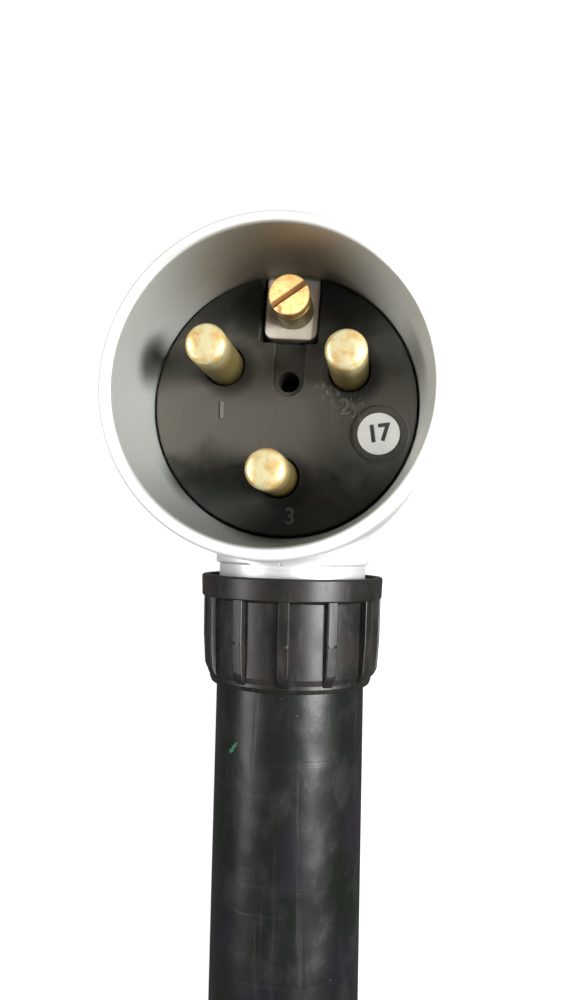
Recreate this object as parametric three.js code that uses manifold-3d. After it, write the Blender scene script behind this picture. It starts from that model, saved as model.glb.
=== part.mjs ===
// A shore power lead. An angled metal-clad plug with three round pins and an earth contact lies on its back,
// pins up. Its heavy rubber cord is wound into a tied coil and ends in the matching in-line connector.
// Millimetres, +Z up. The origin is on the plug's own axis, at the plane that the plug rests on, and the cord
// leaves the plug along -Y.

import * as THREE from 'three';
import { mergeVertices } from 'three/addons/utils/BufferGeometryUtils.js';
import Module from 'manifold-3d';

const wasm = await Module();
wasm.setup();

// ---- Driving dimensions ----------------------------------------------------------------------------------

// Fits
const SEAT_GAP = 0.3; // between two pieces that rest on each other
const SIDE_GAP = 0.3; // all round a piece in its hole
const THREAD_GAP = 0.4; // between a plain nut bore and the thread it covers

// Plug housing: a die-cast cup whose neck leaves at a right angle
const RIM_HEIGHT = 60;
const SHROUD_BORE_R = 26; // at the rim
const SHROUD_SEAT_R = 24.6; // at the insulator's face, where the draft ends
const SHROUD_WALL = 2.2;
const RIM_ROUND = 0.5;
const FLOOR_THICKNESS = 4;
const BACK_EDGE_R = 7; // rounded edge between the side wall and the flat back
const LEDGE_WIDTH = 2.2; // the step that the insulator rests on
const NECK_AXIS_HEIGHT = 21;
const NECK_STEP_AT = 29.5; // from the plug's axis to the shoulder where the thread starts

// Insulator of the plug, and everything that turns with it
const INSULATOR_TURN = -3; // degrees, as it sits in the housing
const INSULATOR_DEPTH = 19; // its face, below the rim
const INSULATOR_THICKNESS = 12.7;
const INSULATOR_R = 24.2;
const TERMINAL_RIM_HEIGHT = 1.8;
const TERMINAL_RIM_WALL = 1.4;
const LABEL_R = 3.8;
const LABEL_THICKNESS = 0.3;
const LABEL_RECESS_R = 5.2;
const LABEL_RECESS_DEPTH = 0.6;
const LABEL_PLACE_R = 18.1;
const LABEL_ANGLE = -13.9; // degrees
const CHANNEL_WIDTH = 5.6;
const CHANNEL_DEPTH = 1.2;
const EARTH_HOLE_R = 1.95;
const EARTH_HOLE_PLACE_R = 4.45;
const EARTH_HOLE_SIDE = 0.5; // off the notch's centre line

// Pins and the sockets that take them
const PIN_ANGLES = [150, 30, 270];
const PIN_CIRCLE_R = 13.4;
const PIN_R = 3.5;
const PIN_LENGTH = 16.5; // in front of the insulator
const PIN_TIP_ROUND = 0.9;
const BARREL_R = 4.7;
const BARREL_LENGTH = 11.3;
const BARREL_SINK = 5; // how far a barrel goes into the insulator's back
const WIRE_HOLE_DEPTH = 8;
const TERMINAL_SCREW_R = 1.6;
const TERMINAL_SCREW_LENGTH = 3.4;
const TERMINAL_SCREW_AT = 2.4; // from the barrel's end

// Earth contact of the plug: a cast tab in the insulator's notch, a brass pillar and its clamp screw
const TAB_WIDTH = 10;
const TAB_CORNER_R = 1.4;
const TAB_DROP = 2; // its face, below the insulator's face
const TAB_INNER_R = 12.7; // from the plug's axis
const NOTCH_SIDE_GAP = 0.4;
const NOTCH_END_GAP = 1.3;
const EARTH_PLACE_R = 18;
const EARTH_SIDE = 0.5; // off the tab's centre line
const PILLAR_R = 3.6;
const PILLAR_HEIGHT = 6;
const PILLAR_TAIL_R = 2.5;
const EARTH_WIRE_HEIGHT = 12; // above the back of the plug
const EARTH_SCREW_HEAD_R = 3.6;
const EARTH_SCREW_HEAD_HEIGHT = 2.9;
const EARTH_SCREW_LIFT = 0.8; // between the head and the pillar, where a wire is clamped
const EARTH_SCREW_R = 2;
const EARTH_SCREW_SINK = 6;
const EARTH_SLOT_WIDTH = 0.9;
const EARTH_SLOT_DEPTH = 1.2;
const EARTH_SLOT_ANGLE = 37; // degrees

// Screw that holds the plug's insulator down, under the label
const FIXING_HEAD_R = 2.9;
const FIXING_HEAD_HEIGHT = 2;
const FIXING_R = 1.7;
const FIXING_BOSS_R = 3.6;
const FIXING_BITE = 7; // its length in the boss

// Cable gland: the same on both ends of the lead
const NECK_R = 15.7;
const THREAD_R = 15;
const THREAD_LENGTH = 11.4;
const THREAD_PITCH = 1.5;
const NECK_BORE_R = 12.6;
const NUT_STANDOFF = 2.4; // bare neck between the shoulder and the nut
const NUT_LENGTH = 21.4;
const NUT_MOUTH_R = 18.6;
const NUT_WALL_R = 16.9; // between the ribs
const NUT_TAIL_R = 16;
const NUT_COLLAR_LENGTH = 4.3;
const NUT_MOUTH_RECESS_R = 17.2;
const NUT_MOUTH_RECESS_DEPTH = 1.6;
const NUT_WEB_THICKNESS = 1.6;
const NUT_BACK_OFF_TURNS = 2; // how far the nut is eased before it meets the cord's jacket
const NUT_RIB_COUNT = 12;
const NUT_RIB_WIDTH = 2.3;
const NUT_RIB_TURN = 2; // degrees
const GROMMET_THICKNESS = 2.7;
const WASHER_THICKNESS = 1.2;

// Cord
const CORD_DIAMETER = 30;
const CORD_SIDES = 10;
const INNER_SHEATH_R = 12;
const INNER_SHEATH_REACH = 2.5; // past the shoulder, into the plug
const CORE_R = 2.6;
const CONDUCTOR_R = 1.5;
const CONDUCTOR_IN_HOLE = 7;
const CORE_SPREAD = 2.85; // from the neck's axis, across and up

// Coil: two layers, spiralling in on the ground and out again on top
const COIL_TURNS = 6.5;
const COIL_MEAN_R = 168;
const COIL_TURN_GAP = 0.6;
const COIL_STEPS = 24; // to a loop
const COIL_SIDES = 6;
const COIL_CENTRE_Y = -302;
const TIE_ANGLES = [90, 210, 330]; // degrees round the coil
const TIE_WIDTH = 25;
const TIE_THICKNESS = 1.8;
const TIE_CORNER_R = 9;
const TIE_SIDE_GAP = 1.3;

// In-line connector
const CONNECTOR_X = 424;
const CONNECTOR_FACE_Y = -8;
const NOSE_R = 24;
const NOSE_LENGTH = 16;
const NOSE_WALL = 2;
const FLANGE_R = 29;
const FLANGE_THICKNESS = 4;
const SHELL_WALL = 3;
const SHELL_LENGTH = 46; // straight part behind the flange
const SHELL_TAPER = 18;
const CONNECTOR_NECK = 4;
const SOCKET_BLOCK_LENGTH = 28;
const SOCKET_BORE_R = 3.6;
const SOCKET_ENTRY_R = 3.8;
const SOCKET_ENTRY_DEPTH = 2;
const SOCKET_DEPTH = 17.5;
const SLEEVE_R = 4.9;
const SOCKET_TAIL = 8; // barrel behind the block
const EARTH_SLOT_IN_NOSE = 11.4; // width of the keyway for the plug's earth tab
const EARTH_SLOT_INNER_GAP = 0.6; // between the keyway and the plug's earth pillar in it
const EARTH_SLOT_SINK = 7;
const EARTH_STUD_PLACE_R = 18;
const EARTH_STUD_HEAD_R = 3.3;
const EARTH_STUD_HEAD_HEIGHT = 1.8;
const EARTH_STUD_R = 2.2;
const EARTH_STUD_TAIL = 6;
const SHELL_SCREW_AT = 24.2; // from the connector's face
const SHELL_SCREW_R = 1.7;
const SHELL_SCREW_HEAD_R = 3;
const SHELL_SCREW_HEAD_HEIGHT = 1.7;
const SHELL_SCREW_LENGTH = 6;
const SHELL_SCREW_SLOT = 0.8;

// Facets of round pieces
const BIG_FACETS = 40;
const NUT_FACETS = 36;
const RING_FACETS = 24;
const PIN_FACETS = 16;
const SMALL_FACETS = 12;
const CORE_FACETS = 6;

// ---- Finishes --------------------------------------------------------------------------------------------

const finish = (color, roughness, metalness = 0) =>
  new THREE.MeshStandardMaterial({ color, roughness, metalness });

const castAluminium = finish(0xd2d4d0, 0.42, 0.75);
const blackPhenolic = finish(0x23231f, 0.45);
const blackNylon = finish(0x2b2b29, 0.5);
const blackRubber = finish(0x232321, 0.72);
const greyRubber = finish(0x4a4a46, 0.85);
const brass = finish(0xc9a24e, 0.3, 0.95);
const steel = finish(0xa9aaa8, 0.35, 0.9);
const copper = finish(0xb9683c, 0.38, 0.9);
const whiteLabel = finish(0xf2f2ee, 0.6);
const tieFabric = finish(0x1f2123, 0.95);
const coreFinishes = [finish(0x5a3423, 0.5), finish(0x232325, 0.5), finish(0x8c8e90, 0.5)];
const earthCoreFinish = finish(0x5f8f2e, 0.5);

// ---- Shape helpers ---------------------------------------------------------------------------------------

const radians = THREE.MathUtils.degToRad;

// The point at a radius and an angle in degrees, in the plane of an axis.
const polar = (radius, angle) =>
  new THREE.Vector2(radius * Math.cos(radians(angle)), radius * Math.sin(radians(angle)));

// A geometry's shared vertices merged, and flat faces on the axis dropped, as a solid for joins and cuts.
function solid(geometry) {
  const bare = geometry.index ? geometry.toNonIndexed() : geometry.clone();
  for (const name of Object.keys(bare.attributes)) if (name !== 'position') bare.deleteAttribute(name);
  const merged = mergeVertices(bare, 1e-3);
  const corners = merged.index.array;
  const kept = [];
  for (let i = 0; i < corners.length; i += 3) {
    const [a, b, c] = corners.slice(i, i + 3);
    if (a !== b && b !== c && c !== a) kept.push(a, b, c);
  }
  const vertProperties = merged.attributes.position.array;
  return new wasm.Manifold(new wasm.Mesh({ numProp: 3, vertProperties, triVerts: new Uint32Array(kept) }));
}

function geometryOf(body) {
  const { vertProperties, triVerts } = body.getMesh();
  return new THREE.BufferGeometry()
    .setAttribute('position', new THREE.BufferAttribute(new Float32Array(vertProperties), 3))
    .setIndex(new THREE.BufferAttribute(new Uint32Array(triVerts), 1));
}

const join = (...pieces) => geometryOf(pieces.map(solid).reduce((whole, piece) => whole.add(piece)));

const cut = (blank, ...tools) =>
  geometryOf(tools.map(solid).reduce((rest, tool) => rest.subtract(tool), solid(blank)));

// A profile of [radius, height] points, closed on itself, turned about Z.
function revolve(points, facets = SMALL_FACETS) {
  const profile = points.map(([radius, height]) => new THREE.Vector2(radius, height));
  if (THREE.ShapeUtils.area(profile) < 0) profile.reverse();
  profile.push(profile[0].clone());
  return new THREE.LatheGeometry(profile, facets).rotateX(Math.PI / 2);
}

// A round bar or a ring between two heights.
const bar = (radius, low, high, facets) =>
  revolve([[0, low], [radius, low], [radius, high], [0, high]], facets);

const ring = (inner, outer, low, high, facets) =>
  revolve([[inner, low], [outer, low], [outer, high], [inner, high]], facets);

// The points of an arc in a profile, from one angle in degrees to another.
function arc(centre, radius, from, to, steps = 4) {
  const points = [];
  for (let i = 0; i <= steps; i += 1) {
    const turn = polar(radius, from + ((to - from) * i) / steps);
    points.push([centre[0] + turn.x, centre[1] + turn.y]);
  }
  return points;
}

// A flat outline between two heights.
const slab = (shape, low, high, curveSegments = 4) =>
  new THREE.ExtrudeGeometry(shape, { depth: high - low, bevelEnabled: false, curveSegments })
    .translate(0, 0, low);

// An upright block across X from -half to half, and along Y between two places, with its near corners rounded.
function tongue(width, near, far, corner) {
  const half = width / 2;
  return new THREE.Shape()
    .moveTo(half, far)
    .lineTo(-half, far)
    .lineTo(-half, near + corner)
    .absarc(-half + corner, near + corner, corner, Math.PI, 1.5 * Math.PI)
    .lineTo(half - corner, near)
    .absarc(half - corner, near + corner, corner, 1.5 * Math.PI, 2 * Math.PI);
}

function outlineOf(points) {
  return new THREE.Shape(points.map(([x, y]) => new THREE.Vector2(x, y)));
}

function roundedBox(left, bottom, right, top, corner) {
  const quarter = Math.PI / 2;
  return new THREE.Shape()
    .absarc(right - corner, bottom + corner, corner, -quarter, 0)
    .absarc(right - corner, top - corner, corner, 0, quarter)
    .absarc(left + corner, top - corner, corner, quarter, 2 * quarter)
    .absarc(left + corner, bottom + corner, corner, 2 * quarter, 3 * quarter);
}

// A round tube along a list of points, with flat ends square to it.
function tubeAlong(points, radius, sides, steps) {
  const section = new THREE.Shape();
  for (let i = 0; i < sides; i += 1) {
    const corner = polar(radius, (360 * i) / sides);
    if (i) section.lineTo(corner.x, corner.y);
    else section.moveTo(corner.x, corner.y);
  }
  const extrudePath = new THREE.CatmullRomCurve3(points.map((point) => new THREE.Vector3(...point)));
  return new THREE.ExtrudeGeometry(section, { steps, extrudePath, curveSegments: 1 });
}

function piece(name, geometry, material) {
  const mesh = new THREE.Mesh(geometry, material.clone());
  mesh.name = name;
  return mesh;
}

// ---- Heights and places that follow from the sizes -------------------------------------------------------

const CORD_R = CORD_DIAMETER / 2;
const FACE_HEIGHT = RIM_HEIGHT - INSULATOR_DEPTH;
const BACK_HEIGHT = FACE_HEIGHT - INSULATOR_THICKNESS;
const LEDGE_HEIGHT = BACK_HEIGHT - SEAT_GAP;
const CHAMBER_R = SHROUD_SEAT_R - LEDGE_WIDTH;
const SHROUD_OUTER_R = SHROUD_BORE_R + SHROUD_WALL;
const TAB_HEIGHT = FACE_HEIGHT - TAB_DROP;
const BARREL_TOP = BACK_HEIGHT + BARREL_SINK;
const BARREL_END = BARREL_TOP - BARREL_LENGTH;
const WIRE_HOLE_R = CONDUCTOR_R + SIDE_GAP;
const LABEL_PLACE = polar(LABEL_PLACE_R, LABEL_ANGLE);
const LABEL_FLOOR = FACE_HEIGHT - LABEL_RECESS_DEPTH;
const FIXING_TOP = LABEL_FLOOR - SEAT_GAP;
const FIXING_SEAT = FIXING_TOP - FIXING_HEAD_HEIGHT - SEAT_GAP;

const GROMMET_START = THREAD_LENGTH + SEAT_GAP;
const WASHER_START = GROMMET_START + GROMMET_THICKNESS + SEAT_GAP;
const WEB_START = WASHER_START + WASHER_THICKNESS + SEAT_GAP;
const WEB_END = WEB_START + NUT_WEB_THICKNESS;
const NUT_END = NUT_STANDOFF + NUT_LENGTH;
const GLAND_PASS_R = INNER_SHEATH_R + SIDE_GAP;
const NUT_TRAVEL = NUT_BACK_OFF_TURNS * THREAD_PITCH;
const JACKET_START = WEB_END + NUT_TRAVEL + SEAT_GAP;

const BLOCK_R = NOSE_R - NOSE_WALL - SIDE_GAP;
const SHELL_R = NOSE_R;
const SHELL_BORE_R = SHELL_R - SHELL_WALL;
const BEHIND_FLANGE = -(NOSE_LENGTH + FLANGE_THICKNESS);
const SHELL_END = BEHIND_FLANGE - SHELL_LENGTH;
const TAPER_END = SHELL_END - SHELL_TAPER;
const CONNECTOR_STEP = TAPER_END - CONNECTOR_NECK;
const CONNECTOR_HEIGHT = FLANGE_R;
const SOCKET_END = -(SOCKET_BLOCK_LENGTH + SOCKET_TAIL);
const EARTH_SLOT_INNER_R = EARTH_PLACE_R - PILLAR_R - EARTH_SLOT_INNER_GAP;

// ---- Plug housing ----------------------------------------------------------------------------------------

function plugHousing() {
  const outside = revolve([
    [0, 0],
    ...arc([SHROUD_OUTER_R - BACK_EDGE_R, BACK_EDGE_R], BACK_EDGE_R, -90, 0),
    [SHROUD_OUTER_R, RIM_HEIGHT - RIM_ROUND],
    [SHROUD_OUTER_R - RIM_ROUND, RIM_HEIGHT],
    [0, RIM_HEIGHT],
  ], BIG_FACETS);
  const neck = bar(NECK_R, 0, NECK_STEP_AT, BIG_FACETS);
  const thread = bar(THREAD_R, 0, NECK_STEP_AT + THREAD_LENGTH, BIG_FACETS);
  const body = join(outside, ...[neck, thread].map(alongNeck));

  const chamberCorner = 2;
  const hollow = revolve([
    [0, FLOOR_THICKNESS],
    ...arc([CHAMBER_R - chamberCorner, FLOOR_THICKNESS + chamberCorner], chamberCorner, -90, 0, 2),
    [CHAMBER_R, LEDGE_HEIGHT],
    [SHROUD_SEAT_R, LEDGE_HEIGHT],
    [SHROUD_SEAT_R, FACE_HEIGHT],
    [SHROUD_BORE_R, RIM_HEIGHT - RIM_ROUND],
    [SHROUD_BORE_R + RIM_ROUND, RIM_HEIGHT],
    [SHROUD_BORE_R + RIM_ROUND, RIM_HEIGHT + 1],
    [0, RIM_HEIGHT + 1],
  ], BIG_FACETS);
  const neckBore = alongNeck(bar(NECK_BORE_R, 0, NECK_STEP_AT + THREAD_LENGTH + 1, BIG_FACETS));
  const shell = cut(body, hollow, neckBore);

  // The two bosses stand in the chamber and are cast in one with its wall.
  const wallMiddle = (CHAMBER_R + SHROUD_OUTER_R) / 2;
  const tab = slab(
    tongue(TAB_WIDTH, TAB_INNER_R, wallMiddle, TAB_CORNER_R),
    FLOOR_THICKNESS / 2,
    TAB_HEIGHT,
  );
  const boss = bar(FIXING_BOSS_R, FLOOR_THICKNESS / 2, LEDGE_HEIGHT)
    .translate(LABEL_PLACE.x, LABEL_PLACE.y, 0);
  const pillarHole = bar(PILLAR_TAIL_R + SIDE_GAP, EARTH_WIRE_HEIGHT, TAB_HEIGHT + 1)
    .translate(EARTH_SIDE, EARTH_PLACE_R, 0);
  const wireHole = bar(WIRE_HOLE_R, TAB_INNER_R - 1, EARTH_PLACE_R)
    .rotateX(-Math.PI / 2)
    .translate(0, 0, EARTH_WIRE_HEIGHT);
  const screwHole = bar(FIXING_R + SIDE_GAP, LEDGE_HEIGHT - FIXING_BITE - 1, LEDGE_HEIGHT + 1)
    .translate(LABEL_PLACE.x, LABEL_PLACE.y, 0);
  const turned = (geometry) => geometry.rotateZ(radians(INSULATOR_TURN));
  return cut(
    join(shell, turned(tab), turned(boss)),
    ...[pillarHole, wireHole, screwHole].map(turned),
  );
}

// Turns a piece that was made about Z onto the neck's axis, with its far end towards -Y.
function alongNeck(geometry) {
  return geometry.rotateX(Math.PI / 2).translate(0, 0, NECK_AXIS_HEIGHT);
}

// ---- Plug insulator --------------------------------------------------------------------------------------

function plugInsulator() {
  const edge = 0.6;
  const disc = revolve([
    [0, BACK_HEIGHT],
    [INSULATOR_R, BACK_HEIGHT],
    [INSULATOR_R, FACE_HEIGHT - edge],
    [INSULATOR_R - edge, FACE_HEIGHT],
    [0, FACE_HEIGHT],
  ], BIG_FACETS);
  const rims = PIN_ANGLES.map((angle) => {
    const place = polar(PIN_CIRCLE_R, angle);
    return bar(BARREL_R + SIDE_GAP + TERMINAL_RIM_WALL, BACK_HEIGHT - TERMINAL_RIM_HEIGHT, BACK_HEIGHT + 1)
      .translate(place.x, place.y, 0);
  });
  const pinBores = PIN_ANGLES.map((angle) => {
    const place = polar(PIN_CIRCLE_R, angle);
    return revolve([
      [0, BACK_HEIGHT - TERMINAL_RIM_HEIGHT - 1],
      [BARREL_R + SIDE_GAP, BACK_HEIGHT - TERMINAL_RIM_HEIGHT - 1],
      [BARREL_R + SIDE_GAP, BARREL_TOP + SEAT_GAP],
      [PIN_R + SIDE_GAP, BARREL_TOP + SEAT_GAP],
      [PIN_R + SIDE_GAP, FACE_HEIGHT + 1],
      [0, FACE_HEIGHT + 1],
    ], PIN_FACETS).translate(place.x, place.y, 0);
  });
  const notch = slab(
    tongue(TAB_WIDTH + 2 * NOTCH_SIDE_GAP, TAB_INNER_R - NOTCH_END_GAP, INSULATOR_R + 1, 0.6),
    BACK_HEIGHT - 1,
    FACE_HEIGHT + 1,
  );
  const channelHalf = CHANNEL_WIDTH / 2;
  const channelEnd = new THREE.Shape()
    .moveTo(EARTH_HOLE_SIDE + channelHalf, TAB_INNER_R)
    .lineTo(EARTH_HOLE_SIDE - channelHalf, TAB_INNER_R)
    .lineTo(EARTH_HOLE_SIDE - channelHalf, EARTH_HOLE_PLACE_R)
    .absarc(EARTH_HOLE_SIDE, EARTH_HOLE_PLACE_R, channelHalf, Math.PI, 2 * Math.PI);
  const channel = slab(channelEnd, FACE_HEIGHT - CHANNEL_DEPTH, FACE_HEIGHT + 1, 8);
  const hole = bar(EARTH_HOLE_R, BACK_HEIGHT - 1, FACE_HEIGHT + 1)
    .translate(EARTH_HOLE_SIDE, EARTH_HOLE_PLACE_R, 0);
  const fixing = revolve([
    [0, BACK_HEIGHT - 1],
    [FIXING_R + SIDE_GAP, BACK_HEIGHT - 1],
    [FIXING_R + SIDE_GAP, FIXING_SEAT],
    [FIXING_HEAD_R + SIDE_GAP, FIXING_SEAT],
    [FIXING_HEAD_R + SIDE_GAP, LABEL_FLOOR],
    [LABEL_RECESS_R, LABEL_FLOOR],
    [LABEL_RECESS_R, FACE_HEIGHT + 1],
    [0, FACE_HEIGHT + 1],
  ], PIN_FACETS).translate(LABEL_PLACE.x, LABEL_PLACE.y, 0);
  return cut(join(disc, ...rims), ...pinBores, notch, channel, hole, fixing);
}

function fixingScrew() {
  const screw = revolve([
    [0, LEDGE_HEIGHT - FIXING_BITE],
    [FIXING_R, LEDGE_HEIGHT - FIXING_BITE],
    [FIXING_R, FIXING_SEAT + SEAT_GAP],
    [FIXING_HEAD_R, FIXING_SEAT + SEAT_GAP],
    [FIXING_HEAD_R, FIXING_TOP],
    [0, FIXING_TOP],
  ]);
  return slotted(screw, FIXING_TOP, FIXING_HEAD_R, EARTH_SLOT_WIDTH, EARTH_SLOT_DEPTH, 0)
    .translate(LABEL_PLACE.x, LABEL_PLACE.y, 0);
}

// A driver slot across the head of an upright screw.
function slotted(screw, top, headR, width, depth, angle) {
  const slot = new THREE.BoxGeometry(2 * headR + 1, width, 2 * depth)
    .rotateZ(radians(angle))
    .translate(0, 0, top);
  return cut(screw, slot);
}

// ---- Pins and terminals ----------------------------------------------------------------------------------

// A pin with the barrel behind it that takes the wire, upright, in place on the pin circle.
function plugPin(angle) {
  const tip = FACE_HEIGHT + PIN_LENGTH;
  const place = polar(PIN_CIRCLE_R, angle);
  const turned = revolve([
    [0, BARREL_END],
    [BARREL_R, BARREL_END],
    [BARREL_R, BARREL_TOP],
    [PIN_R, BARREL_TOP],
    ...arc([PIN_R - PIN_TIP_ROUND, tip - PIN_TIP_ROUND], PIN_TIP_ROUND, 0, 75, 3),
    [0, tip],
  ], PIN_FACETS);
  const wireHole = bar(WIRE_HOLE_R, BARREL_END - 1, BARREL_END + WIRE_HOLE_DEPTH);
  const screwHole = screwAcross(TERMINAL_SCREW_R + SIDE_GAP, 0, BARREL_R + 1, angle)
    .translate(0, 0, BARREL_END + TERMINAL_SCREW_AT);
  return cut(turned, wireHole, screwHole).translate(place.x, place.y, 0);
}

// A bar from one distance to another along the direction of an angle, at height 0.
const screwAcross = (radius, from, to, angle) =>
  bar(radius, from, to, 12).rotateY(Math.PI / 2).rotateZ(radians(angle));

// The grub screw that clamps the wire in a barrel.
function terminalScrew(angle, circle, height) {
  const start = CONDUCTOR_R + SEAT_GAP;
  const place = polar(circle, angle);
  return screwAcross(TERMINAL_SCREW_R, start, start + TERMINAL_SCREW_LENGTH, angle)
    .translate(place.x, place.y, height);
}

// ---- Earth contact of the plug ---------------------------------------------------------------------------

function earthPillar() {
  const foot = TAB_HEIGHT + SEAT_GAP;
  const top = foot + PILLAR_HEIGHT;
  const edge = 0.4;
  const pillar = revolve([
    [0, EARTH_WIRE_HEIGHT + CONDUCTOR_R + SEAT_GAP],
    [PILLAR_TAIL_R, EARTH_WIRE_HEIGHT + CONDUCTOR_R + SEAT_GAP],
    [PILLAR_TAIL_R, foot],
    [PILLAR_R, foot],
    [PILLAR_R, top - edge],
    [PILLAR_R - edge, top],
    [0, top],
  ], PIN_FACETS);
  const hole = bar(EARTH_SCREW_R + SIDE_GAP, top - EARTH_SCREW_SINK - SEAT_GAP, top + 1);
  return cut(pillar, hole).translate(EARTH_SIDE, EARTH_PLACE_R, 0);
}

function earthScrew() {
  const under = TAB_HEIGHT + SEAT_GAP + PILLAR_HEIGHT + EARTH_SCREW_LIFT;
  const top = under + EARTH_SCREW_HEAD_HEIGHT;
  const edge = 0.35;
  const screw = revolve([
    [0, under - EARTH_SCREW_LIFT - EARTH_SCREW_SINK],
    [EARTH_SCREW_R, under - EARTH_SCREW_LIFT - EARTH_SCREW_SINK],
    [EARTH_SCREW_R, under],
    [EARTH_SCREW_HEAD_R, under],
    [EARTH_SCREW_HEAD_R, top - edge],
    [EARTH_SCREW_HEAD_R - edge, top],
    [0, top],
  ], PIN_FACETS);
  return slotted(screw, top, EARTH_SCREW_HEAD_R, EARTH_SLOT_WIDTH, EARTH_SLOT_DEPTH, EARTH_SLOT_ANGLE)
    .translate(EARTH_SIDE, EARTH_PLACE_R, 0);
}

// ---- Cable gland -----------------------------------------------------------------------------------------
// Made about Z with the shoulder of the neck at 0 and the cord leaving upwards.

// The ribbed nut: a plain collar at its hollow mouth, ribs that round off at its tail, a web that presses on
// the washer, and a socket that hugs the cord's jacket.
function glandNut() {
  const collarEnd = NUT_STANDOFF + NUT_COLLAR_LENGTH;
  const mouthRound = 0.6;
  const boreR = THREAD_R + THREAD_GAP;
  const socketR = CORD_R + SIDE_GAP + 0.05;
  const body = revolve([
    [NUT_MOUTH_RECESS_R, NUT_STANDOFF],
    [NUT_MOUTH_R - mouthRound, NUT_STANDOFF],
    [NUT_MOUTH_R, NUT_STANDOFF + mouthRound],
    [NUT_MOUTH_R - 0.2, collarEnd],
    [NUT_WALL_R, collarEnd + 0.3],
    [NUT_WALL_R - 0.3, NUT_END - 2.6],
    [NUT_TAIL_R + 0.3, NUT_END - 0.8],
    [NUT_TAIL_R, NUT_END],
    [socketR, NUT_END],
    [socketR, WEB_END],
    [GLAND_PASS_R, WEB_END],
    [GLAND_PASS_R, WEB_START],
    [boreR, WEB_START],
    [boreR, NUT_STANDOFF + NUT_MOUTH_RECESS_DEPTH],
    [NUT_MOUTH_RECESS_R, NUT_STANDOFF + NUT_MOUTH_RECESS_DEPTH],
  ], NUT_FACETS);
  const ribOutline = outlineOf([
    [NUT_TAIL_R - 0.2, collarEnd - 1],
    [NUT_MOUTH_R - 0.35, collarEnd - 1],
    [NUT_MOUTH_R - 0.5, NUT_END - 9],
    [NUT_MOUTH_R - 0.8, NUT_END - 4.9],
    [NUT_MOUTH_R - 1.1, NUT_END - 3],
    [NUT_MOUTH_R - 1.6, NUT_END - 2],
    [NUT_TAIL_R + 0.1, NUT_END - 0.9],
    [NUT_TAIL_R - 0.2, NUT_END - 0.7],
  ]);
  const rib = slab(ribOutline, -NUT_RIB_WIDTH / 2, NUT_RIB_WIDTH / 2).rotateX(Math.PI / 2);
  const ribs = [];
  for (let i = 0; i < NUT_RIB_COUNT; i += 1) {
    ribs.push(rib.clone().rotateZ(radians(90 - NUT_RIB_TURN + (360 * i) / NUT_RIB_COUNT)));
  }
  return join(body, ...ribs);
}

function grommet() {
  const outer = THREAD_R + THREAD_GAP - SIDE_GAP;
  return ring(GLAND_PASS_R, outer, GROMMET_START, GROMMET_START + GROMMET_THICKNESS, RING_FACETS);
}

function slipWasher() {
  const outer = THREAD_R + THREAD_GAP - SIDE_GAP;
  return ring(GLAND_PASS_R, outer, WASHER_START, WASHER_START + WASHER_THICKNESS, RING_FACETS);
}

// The bedding sheath from the jacket's end through the gland, with a bore that the cores fill.
function innerSheath() {
  const bore = Math.SQRT2 * CORE_SPREAD + CORE_R + SIDE_GAP;
  return ring(bore, INNER_SHEATH_R, -INNER_SHEATH_REACH, JACKET_START - SEAT_GAP, RING_FACETS);
}

function cableGland(prefix) {
  const gland = new THREE.Group();
  gland.add(
    piece(`${prefix}gland_nut`, glandNut(), blackNylon),
    piece(`${prefix}grommet`, grommet(), greyRubber),
    piece(`${prefix}slip_washer`, slipWasher(), steel),
    piece(`${prefix}inner_sheath`, innerSheath(), greyRubber),
  );
  return gland;
}

// ---- Cores -----------------------------------------------------------------------------------------------

const CORE_NAMES = ['core_line_1', 'core_line_2', 'core_line_3', 'core_earth'];
const CORE_STEPS = 15;

// Where the four cores lie in the sheath: two above the neck's axis, two below.
const corePlaces = [
  [-CORE_SPREAD, CORE_SPREAD],
  [CORE_SPREAD, CORE_SPREAD],
  [-CORE_SPREAD, -CORE_SPREAD],
  [CORE_SPREAD, -CORE_SPREAD],
];

// A point in the plug's chamber: across and along in its radius, and up from its floor to the barrels.
const inChamber = ([x, y, rise]) => [
  x * CHAMBER_R,
  y * CHAMBER_R,
  FLOOR_THICKNESS + rise * (BARREL_END - FLOOR_THICKNESS),
];

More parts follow.
